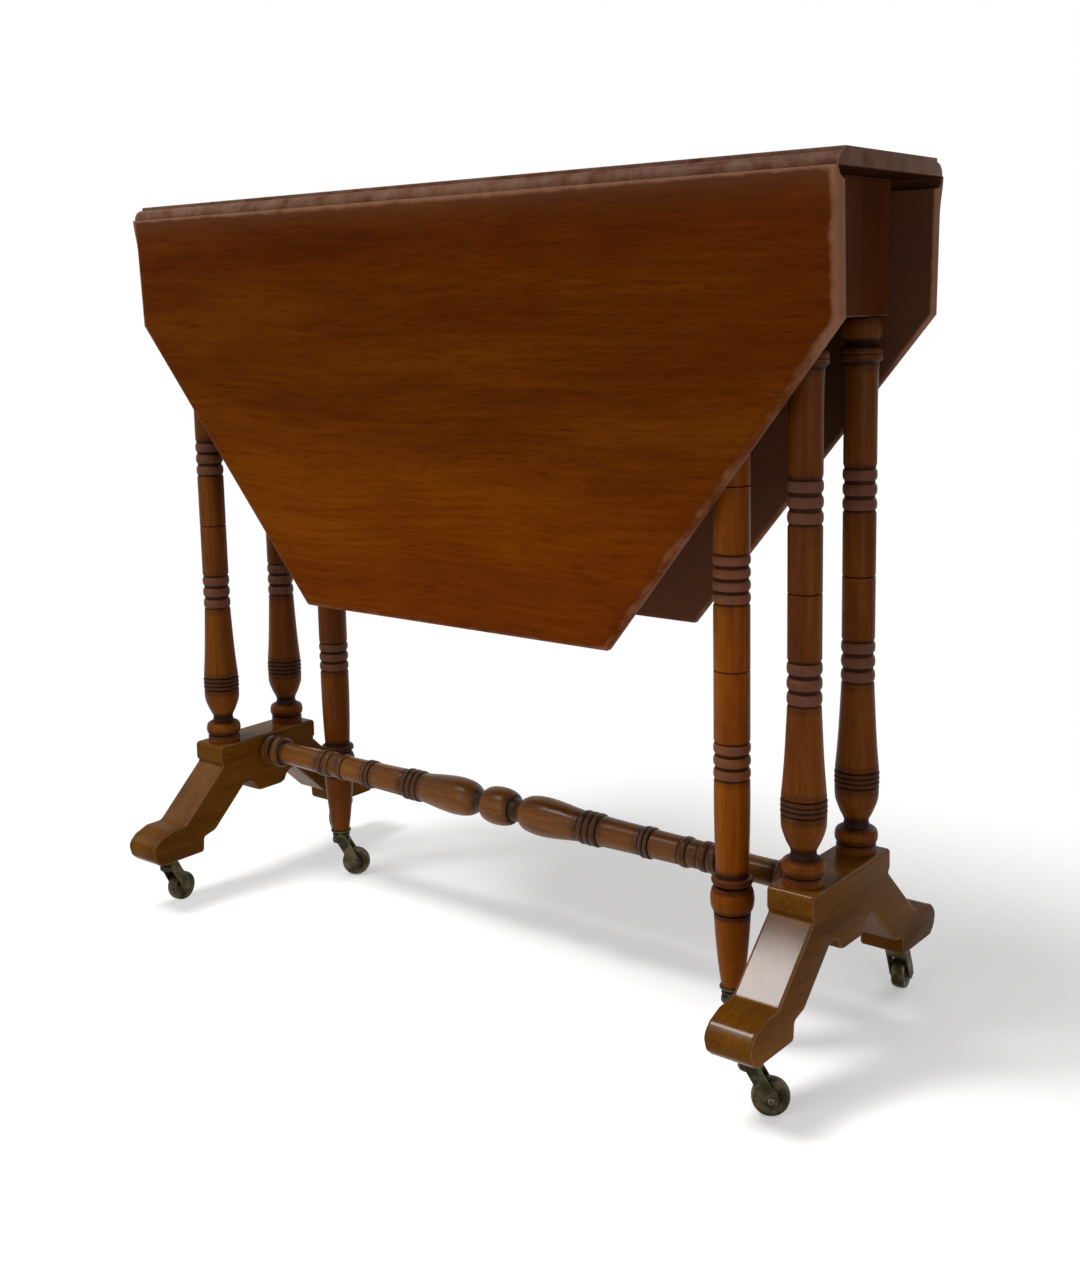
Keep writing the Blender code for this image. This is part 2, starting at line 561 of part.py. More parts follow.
def add_gates():
    """Each gate hangs from an empty on its pin, so that it turns about the joint's axis."""
    bottom, low, high, top = knuckle_heights()
    outer_fingers = [(bottom - SEAM, low + SEAM), (high - SEAM, top + SEAM)]
    block = knuckle_rail("knuckle_block", -KNUCKLE_BLOCK_LENGTH, [(low, high)])
    pin = cylinder("gate_pin", GATE_PIN_RADIUS, RAIL_HEIGHT, (0, 0, (bottom + top) / 2))
    leg = gate_leg_mesh()
    rail_half = TRESTLE_PLACE - END_BOARD_THICKNESS / 2 - SEAM
    inner = LONG_RAIL_SPACING / 2
    low_corner = (-rail_half, -inner - LONG_RAIL_THICKNESS, bottom)
    high_corner = (rail_half, -inner, UNDERSIDE - SEAM)
    long_rail = box("long_rail", low_corner, high_corner)
    for side, turn in (("front", 0), ("back", HALF_TURN)):
        pivot = bpy.data.objects.new(f"{side}_gate_pivot", None)
        table.objects.link(pivot)
        pivot.location = (0, -math.cos(turn) * FLY_RAIL_Y, 0)
        pivot.rotation_euler = (0, 0, turn)
        add_piece(f"{side}_long_rail", long_rail, board_wood, (0, 0, 0), (0, 0, turn))
        add_piece(f"{side}_knuckle_block", block, board_wood, parent=pivot)
        rail_end = GATE_REACH[side] - GATE_BLOCK_SIZE / 2 - SEAM
        fly_rail = knuckle_rail("fly_rail", rail_end, outer_fingers)
        add_piece(f"{side}_fly_rail", fly_rail, board_wood, parent=pivot)
        add_piece(f"{side}_gate_pin", pin, steel, parent=pivot)
        add_piece(f"{side}_gate_leg", leg, turned_wood, (GATE_REACH[side], -GATE_LEG_OFFSET, 0), parent=pivot)


def caster_plate_mesh():
    """The plate screwed under a foot, with the boss and the riveted stem that the horn turns on."""
    under = PLATE_TOP - CASTER_PLATE_THICKNESS
    rivet = CROWN_BOTTOM - SEAM
    profile = [(0, PLATE_TOP), (CASTER_PLATE_RADIUS, PLATE_TOP), (CASTER_PLATE_RADIUS, under)]
    profile += [(CASTER_BOSS_RADIUS, under), (CASTER_BOSS_RADIUS, CROWN_TOP + SEAM)]
    profile += [(STEM_RADIUS, CROWN_TOP + SEAM), (STEM_RADIUS, rivet), (RIVET_RADIUS, rivet)]
    profile += [(RIVET_RADIUS, rivet - RIVET_HEIGHT), (0, rivet - RIVET_HEIGHT)]
    return turned("caster_plate", profile, TURNING_STEPS)


def link_outline(first, first_radius, second, second_radius, steps):
    """The outline round two circles and the straight lines that touch both."""
    run = Vector(second) - Vector(first)
    heading = math.degrees(math.atan2(run.y, run.x))
    lean = math.degrees(math.acos((first_radius - second_radius) / run.length))
    outline = arc(second, second_radius, heading - lean, heading + lean, steps)
    return outline + arc(first, first_radius, heading + lean, heading + 360 - lean, steps)


def caster_horn_mesh():
    """The swivelling horn: a bored crown under the plate and two raked cheeks that hold the axle."""
    middle = (CROWN_BOTTOM + CROWN_TOP) / 2
    axle = (CASTER_TRAIL, WHEEL_RADIUS)
    cheek = link_outline((0, middle), CROWN_HEIGHT / 2, axle, CHEEK_END_RADIUS, 6)
    offset = WHEEL_WIDTH / 2 + CHEEK_CLEARANCE + CHEEK_THICKNESS / 2
    horn = cylinder("caster_horn", CROWN_RADIUS, CROWN_HEIGHT, (0, 0, middle), None, 16)
    cheeks = []
    for side in (-offset, offset):
        made = extruded("cheek", cheek, CHEEK_THICKNESS, STAND_IN_XZ)
        made.transform(Matrix.Translation((0, side, 0)))
        cheeks.append(made)
    horn = combined(horn, cheeks, "UNION")
    stem = cylinder("bore", STEM_RADIUS + BORE_CLEARANCE, 4 * CROWN_HEIGHT, (0, 0, middle))
    axle_place = (CASTER_TRAIL, 0, WHEEL_RADIUS)
    across = cylinder("bore", AXLE_RADIUS + BORE_CLEARANCE, 4 * WHEEL_WIDTH, axle_place, ALONG_Y, 10)
    return combined(horn, [stem, across], "DIFFERENCE")


def wheel_mesh():
    """A small wheel with a crowned tread and a shallow dish each side, along Y, its axle at the origin."""
    half, bore = WHEEL_WIDTH / 2, AXLE_RADIUS + BORE_CLEARANCE
    rim = 0.93 * WHEEL_RADIUS
    profile = [(bore, half), (0.42 * WHEEL_RADIUS, half), (0.55 * WHEEL_RADIUS, 0.8 * half)]
    profile += [(rim, 0.75 * half), (WHEEL_RADIUS, 0.25 * half)]
    profile += [(radius, -height) for radius, height in reversed(profile)]
    mesh = turned("wheel", profile, WHEEL_STEPS, closed=True)
    mesh.transform(ALONG_Y @ Matrix.Rotation(-math.pi / 2, 4, "Z"))
    return mesh


def caster_places():
    """Where each caster stands: under the four toes and under the two swing legs."""
    places = {}
    for end, x in (("left", -TRESTLE_PLACE), ("right", TRESTLE_PLACE)):
        for side, y in (("front", -CASTER_REACH), ("back", CASTER_REACH)):
            places[f"{side}_{end}"] = (x, y)
    places["front_gate"] = (GATE_REACH["front"], -GATE_LEG_Y)
    places["back_gate"] = (-GATE_REACH["back"], GATE_LEG_Y)
    return places


def add_casters():
    """Each caster's horn, axle and wheel hang from an empty on its swivel axis."""
    plate, horn, wheel = caster_plate_mesh(), caster_horn_mesh(), wheel_mesh()
    span = WHEEL_WIDTH + 2 * (CHEEK_CLEARANCE + CHEEK_THICKNESS + SEAM)
    axle = cylinder("axle", AXLE_RADIUS, span, (0, 0, 0), ALONG_Y, 10)
    for corner, (x, y) in caster_places().items():
        swivel = bpy.data.objects.new(f"{corner}_caster_swivel", None)
        table.objects.link(swivel)
        swivel.location = (x, y, 0)
        swivel.rotation_euler = (0, 0, math.radians(CASTER_TURNS[corner]))
        centre = (CASTER_TRAIL, 0, WHEEL_RADIUS)
        add_piece(f"{corner}_caster_plate", plate, brass, (x, y, 0))
        add_piece(f"{corner}_caster_horn", horn, brass, parent=swivel)
        add_piece(f"{corner}_caster_axle", axle, steel, centre, parent=swivel)
        add_piece(f"{corner}_caster_wheel", wheel, brass, centre, parent=swivel)


clear_scene()
table = bpy.data.collections.new("sutherland_table")
bpy.context.scene.collection.children.link(table)
board_wood = principled("mahogany_board", (0.115, 0.040, 0.010), 0.35)
turned_wood = principled("mahogany_turned", (0.130, 0.046, 0.014), 0.35)
foot_wood = principled("mahogany_foot", (0.090, 0.040, 0.018), 0.40)
brass = principled("old_brass", (0.150, 0.120, 0.055), 0.45, 1.0)
steel = principled("dark_steel", (0.250, 0.240, 0.220), 0.45, 1.0)

add_piece("centre_top", centre_top_mesh(), board_wood)
add_leaves_and_hinges()
add_trestles()
add_gates()
add_casters()
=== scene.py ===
import json
import math

import bpy
import numpy as np
from mathutils import Matrix, Vector


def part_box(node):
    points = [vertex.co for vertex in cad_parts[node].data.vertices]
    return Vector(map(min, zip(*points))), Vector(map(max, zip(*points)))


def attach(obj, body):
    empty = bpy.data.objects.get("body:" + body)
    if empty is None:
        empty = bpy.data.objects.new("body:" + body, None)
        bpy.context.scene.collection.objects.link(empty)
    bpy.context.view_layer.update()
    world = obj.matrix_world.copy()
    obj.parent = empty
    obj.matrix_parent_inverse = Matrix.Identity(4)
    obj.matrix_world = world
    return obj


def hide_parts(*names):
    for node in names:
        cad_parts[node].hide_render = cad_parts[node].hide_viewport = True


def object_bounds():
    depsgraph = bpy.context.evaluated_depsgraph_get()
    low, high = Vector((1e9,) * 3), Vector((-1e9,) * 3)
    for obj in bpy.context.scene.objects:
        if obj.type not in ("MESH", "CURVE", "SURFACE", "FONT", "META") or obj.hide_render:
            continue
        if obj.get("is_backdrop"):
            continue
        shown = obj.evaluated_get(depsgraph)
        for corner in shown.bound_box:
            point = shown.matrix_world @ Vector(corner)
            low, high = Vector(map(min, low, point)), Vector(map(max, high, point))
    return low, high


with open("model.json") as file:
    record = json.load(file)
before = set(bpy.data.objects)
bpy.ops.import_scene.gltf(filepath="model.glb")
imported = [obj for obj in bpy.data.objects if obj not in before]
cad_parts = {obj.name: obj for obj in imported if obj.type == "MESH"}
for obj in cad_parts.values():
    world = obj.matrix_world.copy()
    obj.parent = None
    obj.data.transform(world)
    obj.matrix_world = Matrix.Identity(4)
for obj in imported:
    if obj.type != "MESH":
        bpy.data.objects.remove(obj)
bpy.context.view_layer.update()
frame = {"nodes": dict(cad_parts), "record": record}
print("frame loaded with", len(frame["nodes"]), "nodes")


# shader values as sums


class Wire:
    # wraps one output socket; sums on it add Math nodes
    def __init__(self, look, socket):
        self.look = look
        self.socket = socket

    def sum(self, operation, first, second):
        # either side may be a wire or a number
        return self.look.node("ShaderNodeMath", {"operation": operation}, {0: first, 1: second})

    def __add__(self, other):
        return self.sum("ADD", self, other)

    def __sub__(self, other):
        return self.sum("SUBTRACT", self, other)

    def __rsub__(self, other):
        return self.sum("SUBTRACT", other, self)

    def __mul__(self, other):
        return self.sum("MULTIPLY", self, other)

    __radd__ = __add__
    __rmul__ = __mul__


class Look:
    # the node tree of a material or a world: its main shader and the one method that adds nodes
    def __init__(self, owner, shader="Principled BSDF"):
        owner.use_nodes = True
        self.owner = owner
        self.tree = owner.node_tree
        self.shader = self.tree.nodes[shader]

    def node(self, kind, settings=None, sockets=None, out=0):
        # settings are the node's own fields, sockets its inputs
        made = self.tree.nodes.new(kind)
        for key, value in (settings or {}).items():
            if key == "stops":
                self.setStops(made.color_ramp, value)
            else:
                setattr(made, key, value)
        for key, value in (sockets or {}).items():
            self.feed(made.inputs[key], value)
        return Wire(self, made.outputs[out])

    def setStops(self, ramp, stops):
        # each stop is a place along the ramp and its colour
        while len(ramp.elements) < len(stops):
            ramp.elements.new(0.5)
        for element, (place, colour) in zip(ramp.elements, stops):
            element.position = place
            element.color = (*colour, 1.0)

    def feed(self, socket, value):
        # a wire is linked, anything else is set as the socket's own value
        if isinstance(value, Wire):
            self.tree.links.new(value.socket, socket)
        else:
            socket.default_value = value

    def set(self, **inputs):
        # inputs of the main shader, with _ for each space
        for key, value in inputs.items():
            self.feed(self.shader.inputs[key.replace("_", " ")], value)

    def stretch(self, vector, scales):
        # each part of the vector times its own scale
        sockets = {0: vector, 1: scales}
        return self.node("ShaderNodeVectorMath", {"operation": "MULTIPLY"}, sockets)

    def noise(self, vector, scale=1.0, detail=2.0, roughness=0.5, out="Fac"):
        # fractal noise, about 0.5 on average
        sockets = {"Vector": vector, "Scale": scale, "Detail": detail, "Roughness": roughness}
        return self.node("ShaderNodeTexNoise", {}, sockets, out)

    def step(self, value, low, high):
        # 0 below low, 1 above high, eased between
        sockets = {"Value": value, "From Min": low, "From Max": high}
        return self.node("ShaderNodeMapRange", {"interpolation_type": "SMOOTHSTEP"}, sockets)

    def blend(self, amount, first, second):
        # first colour where the amount is 0, second where it is 1
        settings = {"data_type": "RGBA"}
        return self.node("ShaderNodeMix", settings, {0: amount, 6: first, 7: second}, 2)

    def attribute(self, name):
        # a mark that the mesh carries at its points
        return self.node("ShaderNodeAttribute", {"attribute_name": name}, {}, "Fac")

    def seen(self):
        # above 0 for rays that show in the picture, straight or by way of a mirror or glass
        path = self.node("ShaderNodeLightPath").socket.node
        kinds = ("Camera", "Glossy", "Transmission")
        camera, glossy, clear = (Wire(self, path.outputs[f"Is {kind} Ray"]) for kind in kinds)
        return camera + glossy + clear


def opaque(colour):
    # the colour with full alpha
    return (*colour, 1.0)


def grainScales(axis, along, across):
    # texture scales that draw a pattern out along one axis
    return tuple(along if name == axis else across for name in "XYZ")


# finishes

woodLooks = {
    # worn colours also stand in for highlights on the leaves and turned work; grime colours also stand in
    # for shade under the top
    "leafWood": {
        "axis": "X", "dark": (0.034, 0.0048, 0.0002), "middle": (0.080, 0.0155, 0.0003),
        "light": (0.135, 0.0360, 0.0005), "worn": (0.236, 0.110, 0.062), "grime": (0.012, 0.004, 0.002),
        "figureAlong": 1.6, "figureAcross": 11.0, "fibreAlong": 9.0, "fibreAcross": 260.0,
        "poreAlong": 55.0, "poreAcross": 950.0, "bend": 0.05, "roughness": 0.40, "specular": 0.012,
        # painted light: the leaf is lit more towards its lower edge
        "paintedHeightLight": (0.34, 0.54, 0.50), "bare": (0.085, 0.042, 0.024),
    },
    "topWood": {
        "axis": "X", "dark": (0.034, 0.0055, 0.0004), "middle": (0.080, 0.0180, 0.0010),
        "light": (0.135, 0.0400, 0.0030), "worn": (0.16, 0.096, 0.068), "grime": (0.012, 0.004, 0.002),
        "figureAlong": 1.6, "figureAcross": 14.0, "fibreAlong": 9.0, "fibreAcross": 260.0,
        "poreAlong": 55.0, "poreAcross": 950.0, "bend": 0.05, "roughness": 0.38, "specular": 0.02,
    },
    "boardWood": {
        "axis": "Z", "dark": (0.031, 0.0066, 0.0012), "middle": (0.067, 0.0168, 0.0040),
        "light": (0.120, 0.0400, 0.0100), "worn": (0.16, 0.080, 0.045), "grime": (0.008, 0.003, 0.002),
        "figureAlong": 2.0, "figureAcross": 16.0, "fibreAlong": 10.0, "fibreAcross": 260.0,
        "poreAlong": 60.0, "poreAcross": 950.0, "bend": 0.04, "roughness": 0.48, "specular": 0.03,
    },
    "railWood": {
        "axis": "X", "dark": (0.020, 0.007, 0.003), "middle": (0.060, 0.024, 0.010),
        "light": (0.105, 0.048, 0.021), "worn": (0.18, 0.10, 0.06), "grime": (0.008, 0.003, 0.002),
        "figureAlong": 2.0, "figureAcross": 18.0, "fibreAlong": 10.0, "fibreAcross": 260.0,
        "poreAlong": 60.0, "poreAcross": 950.0, "bend": 0.04, "roughness": 0.60, "specular": 0.06,
    },
    "turnedWood": {
        "axis": "Z", "dark": (0.030, 0.0060, 0.0004), "middle": (0.074, 0.0185, 0.0010),
        "light": (0.118, 0.0385, 0.0022), "worn": (0.069, 0.031, 0.021), "grime": (0.007, 0.0025, 0.0018),
        "figureAlong": 3.0, "figureAcross": 42.0, "fibreAlong": 14.0, "fibreAcross": 420.0,
        "poreAlong": 70.0, "poreAcross": 1100.0, "bend": 0.012, "roughness": 0.34, "specular": 0.05,
        # painted light and shade: the turned legs lighter low down and darker up under the leaves
        "paintedHeightLight": (0.40, 0.56, 0.50),
    },
    # painted light: a brighter, lit copy of the turned wood for the front gate leg
    "gateWood": {
        "axis": "Z", "dark": (0.080, 0.0150, 0.0005), "middle": (0.195, 0.0460, 0.0012),
        "light": (0.295, 0.0950, 0.0030), "worn": (0.116, 0.053, 0.034), "grime": (0.012, 0.0040, 0.0030),
        "figureAlong": 3.0, "figureAcross": 42.0, "fibreAlong": 14.0, "fibreAcross": 420.0,
        "poreAlong": 70.0, "poreAcross": 1100.0, "bend": 0.012, "roughness": 0.34, "specular": 0.04,
        # painted shade: the gate leg darker towards its foot
        "paintedHeightLight": (0.08, 0.30, -0.18),
    },
    "stretcherWood": {
        "axis": "X", "dark": (0.036, 0.0110, 0.0022), "middle": (0.126, 0.0415, 0.0060),
        "light": (0.235, 0.088, 0.015), "worn": (0.19, 0.108, 0.074), "grime": (0.008, 0.003, 0.002),
        "figureAlong": 3.0, "figureAcross": 42.0, "fibreAlong": 14.0, "fibreAcross": 420.0,
        "poreAlong": 70.0, "poreAcross": 1100.0, "bend": 0.012, "roughness": 0.26, "specular": 0.12,
    },
    "footWood": {
        "axis": "Y", "dark": (0.040, 0.0120, 0.0008), "middle": (0.112, 0.0390, 0.0030),
        "light": (0.180, 0.070, 0.008), "worn": (0.20, 0.110, 0.060), "grime": (0.010, 0.004, 0.002),
        "figureAlong": 3.0, "figureAcross": 26.0, "fibreAlong": 12.0, "fibreAcross": 320.0,
        "poreAlong": 60.0, "poreAcross": 950.0, "bend": 0.03, "roughness": 0.20, "specular": 0.02,
        "relief": 0.08, "coat": 0.29,
    },
}

woodMarks = {
    "stops": (0.28, 0.50, 0.72), "figure": 0.62, "fibre": 0.26, "patina": 0.12, "driftScale": 3.0,
    "patinaScale": 7.0, "poreRange": (0.60, 0.70), "poreShade": 0.45, "bareShade": 0.62, "wearScale": 55.0,
    "wearAndHighlightRange": (0.62, 0.98), "wearAndHighlightAmount": 0.80, "grimeScale": 80.0, "grimeAndShadeRange": (0.25, 0.95),
    "grimeAndShadeAmount": 0.92, "scuffAlong": 12.0, "scuffAcross": 70.0, "relief": 0.22, "reliefDepth": 0.0005,
    "coatRoughness": 0.12, "wearAndHighlightMark": 0.75, "wearNoise": 0.55, "grimeAndShadeMark": 0.85, "grimeNoise": 0.30,
    "scuffRough": 0.30, "poreRough": 0.12, "wearRough": 0.10, "grimeRough": 0.15,
    "fibreHeight": 0.35, "poreDepth": 0.5, "patinaHeight": 0.5, "wearDepth": 0.15,
}


def woodLook(name, s):
    # figure, fibre and pores are noises drawn out along the grain; wear with painted highlight, grime with
    # painted shade, and polish come from the mesh
    look, m = Look(bpy.data.materials.new(name)), woodMarks
    place = look.node("ShaderNodeTexCoord", {}, {}, "Object")
    drift = look.noise(place, m["driftScale"], 2.0, 0.5, "Color")
    sockets = {0: drift, 1: (s["bend"],) * 3, 2: place}
    bent = look.node("ShaderNodeVectorMath", {"operation": "MULTIPLY_ADD"}, sockets)
    scales = {part: grainScales(s["axis"], s[part + "Along"], s[part + "Across"])
              for part in ("figure", "fibre", "pore")}
    figure = look.noise(look.stretch(bent, scales["figure"]), 1.0, 5.0, 0.62)
    fibre = look.noise(look.stretch(bent, scales["fibre"]), 1.0, 3.0, 0.6)
    pores = look.noise(look.stretch(place, scales["pore"]), 1.0, 1.0, 0.5)
    patina = look.noise(place, m["patinaScale"], 3.0, 0.55)
    stops = list(zip(m["stops"], (s["dark"], s["middle"], s["light"])))
    tone = figure * m["figure"] + fibre * m["fibre"] + patina * m["patina"]
    colour = look.node("ShaderNodeValToRGB", {"stops": stops}, {"Fac": tone})
    poreMark = look.step(pores, *m["poreRange"])
    colour = look.blend(poreMark * m["poreShade"], colour, opaque(s["dark"]))
    bare = look.attribute("bare") * m["bareShade"]
    colour = look.blend(bare, colour, opaque(s.get("bare", s["dark"])))
    spots = look.noise(place, m["wearScale"], 4.0, 0.65) * m["wearNoise"]
    # wear with painted highlight: the pale worn colour also stands in for highlights on ring crests and leaf
    # edges
    wear = look.step(look.attribute("wear") * m["wearAndHighlightMark"] + spots, *m["wearAndHighlightRange"])
    colour = look.blend(wear * m["wearAndHighlightAmount"], colour, opaque(s["worn"]))
    # grime with painted shade: the dark grime colour also stands in for shade under the top, and darkens the
    # hollows of turned work
    spots = look.noise(place, m["grimeScale"], 3.0, 0.6) * m["grimeNoise"]
    grime = look.step(look.attribute("grime") * m["grimeAndShadeMark"] + spots, *m["grimeAndShadeRange"])
    colour = look.blend(grime * m["grimeAndShadeAmount"], colour, opaque(s["grime"]))
    scuffed = look.stretch(place, grainScales(s["axis"], m["scuffAlong"], m["scuffAcross"]))
    scuffs = look.noise(scuffed, 1.0, 4.0, 0.65)
    roughness = s["roughness"] + (scuffs - 0.5) * m["scuffRough"] + poreMark * m["poreRough"]
    roughness = roughness + wear * m["wearRough"] + grime * m["grimeRough"]
    height = fibre * m["fibreHeight"] - poreMark * m["poreDepth"]
    height = height + patina * m["patinaHeight"] - wear * m["wearDepth"]
    relief = {"Strength": s.get("relief", m["relief"]), "Distance": m["reliefDepth"], "Height": height}
    bump = look.node("ShaderNodeBump", {}, relief, "Normal")
    if "paintedHeightLight" in s:
        # painted light and shade by height: the colour is scaled by 1 + gain below the low height, and by 1
        # above the high one
        low, high, gain = s["paintedHeightLight"]
        level = look.node("ShaderNodeSeparateXYZ", {}, {0: place}, "Z")
        factor = 1 + (1 - look.step(level, low, high)) * gain
        colour = look.node("ShaderNodeVectorMath", {"operation": "SCALE"}, {0: colour, "Scale": factor})
    look.set(Base_Color=colour, Roughness=roughness, Normal=bump, Specular_IOR_Level=s["specular"])
    if "coat" in s:
        look.set(Coat_Weight=look.attribute("polish") * s["coat"], Coat_Roughness=m["coatRoughness"])
    return look.owner


metalLooks = {
    "oldBrass": {
        "bright": (0.080, 0.064, 0.030), "dull": (0.025, 0.021, 0.012), "grime": (0.008, 0.007, 0.005),
        "patch": 90.0, "roughness": 0.40,
    },
    "darkBrass": {
        "bright": (0.085, 0.070, 0.036), "dull": (0.028, 0.024, 0.015), "grime": (0.008, 0.007, 0.005),
        "patch": 90.0, "roughness": 0.42,
    },
    "hingeBrass": {
        "bright": (0.340, 0.235, 0.085), "dull": (0.130, 0.095, 0.040), "grime": (0.020, 0.016, 0.010),
        "patch": 60.0, "roughness": 0.42,
    },
    "darkSteel": {
        "bright": (0.120, 0.105, 0.080), "dull": (0.055, 0.048, 0.038), "grime": (0.020, 0.015, 0.012),
        "patch": 120.0, "roughness": 0.45,
    },
}
metalMarks = {
    "speckScale": 900.0, "tarnishRange": (0.36, 0.62), "wearAndHighlightRange": (0.25, 0.90), "grimeAndShadeRange": (0.25, 0.90),
    "grimeAndShadeAmount": 0.85, "relief": 0.18, "reliefDepth": 0.0003, "speckShare": 0.25, "rubShare": 0.7,
    "patchShare": 0.4, "tarnishRough": 0.16, "grimeRough": 0.2, "rubSmooth": 0.12,
    "speckHeight": 0.4, "patchHeight": 0.6,
}


def metalLook(name, s):
    # tarnish in patches over the bare metal, darker where the mesh marks its hollows
    look, m = Look(bpy.data.materials.new(name)), metalMarks
    place = look.node("ShaderNodeTexCoord", {}, {}, "Object")
    patch = look.noise(place, s["patch"], 4.0, 0.6)
    speck = look.noise(place, m["speckScale"], 2.0, 0.6)
    tarnish = look.step(patch + (speck - 0.5) * m["speckShare"], *m["tarnishRange"])
    rubbed = look.step(look.attribute("wear"), *m["wearAndHighlightRange"])
    colour = look.blend(tarnish * (1 - rubbed * m["rubShare"]), opaque(s["bright"]), opaque(s["dull"]))
    grime = look.step(look.attribute("grime") + (patch - 0.5) * m["patchShare"], *m["grimeAndShadeRange"])
    colour = look.blend(grime * m["grimeAndShadeAmount"], colour, opaque(s["grime"]))
    roughness = s["roughness"] + tarnish * m["tarnishRough"] + grime * m["grimeRough"]
    roughness = roughness - rubbed * m["rubSmooth"]
    height = speck * m["speckHeight"] + patch * m["patchHeight"]
    relief = {"Strength": m["relief"], "Distance": m["reliefDepth"], "Height": height}
    bump = look.node("ShaderNodeBump", {}, relief, "Normal")
    look.set(Base_Color=colour, Roughness=roughness, Metallic=1.0, Normal=bump)
    return look.owner


finishes = {name: woodLook(name, s) for name, s in woodLooks.items()}
finishes.update({name: metalLook(name, s) for name, s in metalLooks.items()})
print("finishes made:", len(finishes))


# surfaces as grids of points


def gridFaces(stations, around, closedAlong):
    # four-cornered faces between each ring of points and the next
    rows = np.arange(stations if closedAlong else stations - 1)[:, None]
    columns = np.arange(around)[None, :]
    here, there = rows * around, ((rows + 1) % stations) * around
    onward = (columns + 1) % around
    corners = np.stack([here + columns, here + onward, there + onward, there + columns], -1)
    return corners.reshape(-1, 4)


def signedVolume(points, faces, caps):
    # sum over triangles of the box that each makes with the origin
    quads = points[faces]
    halves = [quads[:, [0, 1, 2]], quads[:, [0, 2, 3]]]
    for cap in caps:
        fan = points[cap]
        first = np.broadcast_to(fan[0], fan[2:].shape)
        halves.append(np.stack([first, fan[1:-1], fan[2:]], 1))
    triangles = np.concatenate(halves)
    crossed = np.cross(triangles[:, 1], triangles[:, 2])
    return np.einsum("ij,ij->i", triangles[:, 0], crossed).sum() / 6


def shell(rings, closedAlong=False, wear=0.0, grime=0.0, bare=0.0, polish=0.0):
    # a closed skin over rings of points, with flat caps unless the rings close on themselves
    # each mark, from 0 to 1, is one number or one for each point
    stations, around = rings.shape[:2]
    points = rings.reshape(-1, 3)
    faces = gridFaces(stations, around, closedAlong)
    caps = []
    if not closedAlong:
        caps = [np.arange(around)[::-1], np.arange(around) + (stations - 1) * around]
    if signedVolume(points - points.mean(0), faces, caps) < 0:
        faces = faces[:, ::-1]
        caps = [cap[::-1] for cap in caps]
    given = {"wear": wear, "grime": grime, "bare": bare, "polish": polish}
    marks = {key: np.broadcast_to(value, (stations, around)).reshape(-1) for key, value in given.items()}
    return {"points": points, "faces": faces.tolist() + [cap.tolist() for cap in caps], "marks": marks}


def moved(skin, matrix):
    # the same skin carried by a turn and a shift
    turn = np.array(matrix)
    return {**skin, "points": skin["points"] @ turn[:3, :3].T + turn[:3, 3]}


def addPiece(name, skins, finish, body, node, sharpAngle=38):
    # joins closed skins into one mesh and lets it stand for its CAD node
    points, faces, start = [], [], 0
    marks = {key: [] for key in skins[0]["marks"]}
    for skin in skins:
        points.append(skin["points"])
        faces += [[start + corner for corner in face] for face in skin["faces"]]
        for key in marks:
            marks[key].append(skin["marks"][key])
        start += len(skin["points"])
    mesh = bpy.data.meshes.new(name)
    mesh.from_pydata(np.concatenate(points).tolist(), [], faces)
    for key, values in marks.items():
        attribute = mesh.attributes.new(key, "FLOAT", "POINT")
        attribute.data.foreach_set("value", np.concatenate(values).astype(np.float32))
    mesh.shade_smooth()
    mesh.set_sharp_from_angle(angle=math.radians(sharpAngle))
    mesh.materials.append(finishes[finish])
    piece = bpy.data.objects.new(name, mesh)
    bpy.context.scene.collection.objects.link(piece)
    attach(piece, body)
    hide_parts(node)


# turned work: radius against height, from the top down


def bead(top, bottom, edge, crest, count=13, power=0.8):
    # half a round: radius swells from the edge to the crest and back, as a power of the sine
    turn = np.linspace(0, np.pi, count)
    radius = edge + (crest - edge) * np.sin(turn) ** power
    return np.stack([radius, (top + bottom) / 2 + (top - bottom) / 2 * np.cos(turn)], -1)


def ringBand(middle, height, count, valley, crest, gap=0.0):
    # beads side by side, each drawn in from its share by the gap
    pitch = height / count
    tops = middle + height / 2 - pitch * np.arange(count)
    return np.concatenate([bead(top - gap, top - pitch + gap, valley, crest, 9) for top in tops])


def scribe(height, radius, depth=0.0009, width=0.0008):
    # a fine V cut round the shaft
    return np.array([(radius, height + width), (radius - depth, height), (radius, height - width)])


def smoothRun(points, perSpan=8):
    # a Catmull-Rom curve through the given points: each span is a cubic of its four neighbours
    given = np.array(points, float)
    padded = np.concatenate([2 * given[:1] - given[1:2], given, 2 * given[-1:] - given[-2:-1]])
    t = np.linspace(0, 1, perSpan, endpoint=False)[None, :, None]
    a, b, c, d = (padded[i:len(padded) - 3 + i, None, :] for i in range(4))
    square, cube = 2 * a - 5 * b + 4 * c - d, 3 * b - a - 3 * c + d
    run = 0.5 * (2 * b + (c - a) * t + square * t ** 2 + cube * t ** 3)
    return np.concatenate([run.reshape(-1, 2), given[-1:]])


def crestsAndHollows(profile, reach=0.007, spacing=0.0004, deepest=0.0015):
    # how far each point stands out from the profile averaged over the reach, and the mean hollow near it
    steps = np.hypot(*np.diff(profile, axis=0).T)
    length = np.concatenate([[0], np.cumsum(steps)])
    even = np.arange(0, length[-1], spacing)
    radius = np.interp(even, length, profile[:, 0])
    width = max(3, int(reach / spacing))
    padded = np.pad(radius, width, mode="edge")
    mean = np.convolve(padded, np.ones(width) / width, "same")[width:-width]
    nearHollow = np.convolve(np.clip(mean - radius, 0, deepest), np.ones(2 * width) / (2 * width), "same")
    return profile[:, 0] - np.interp(length, even, mean), np.interp(length, even, nearHollow)


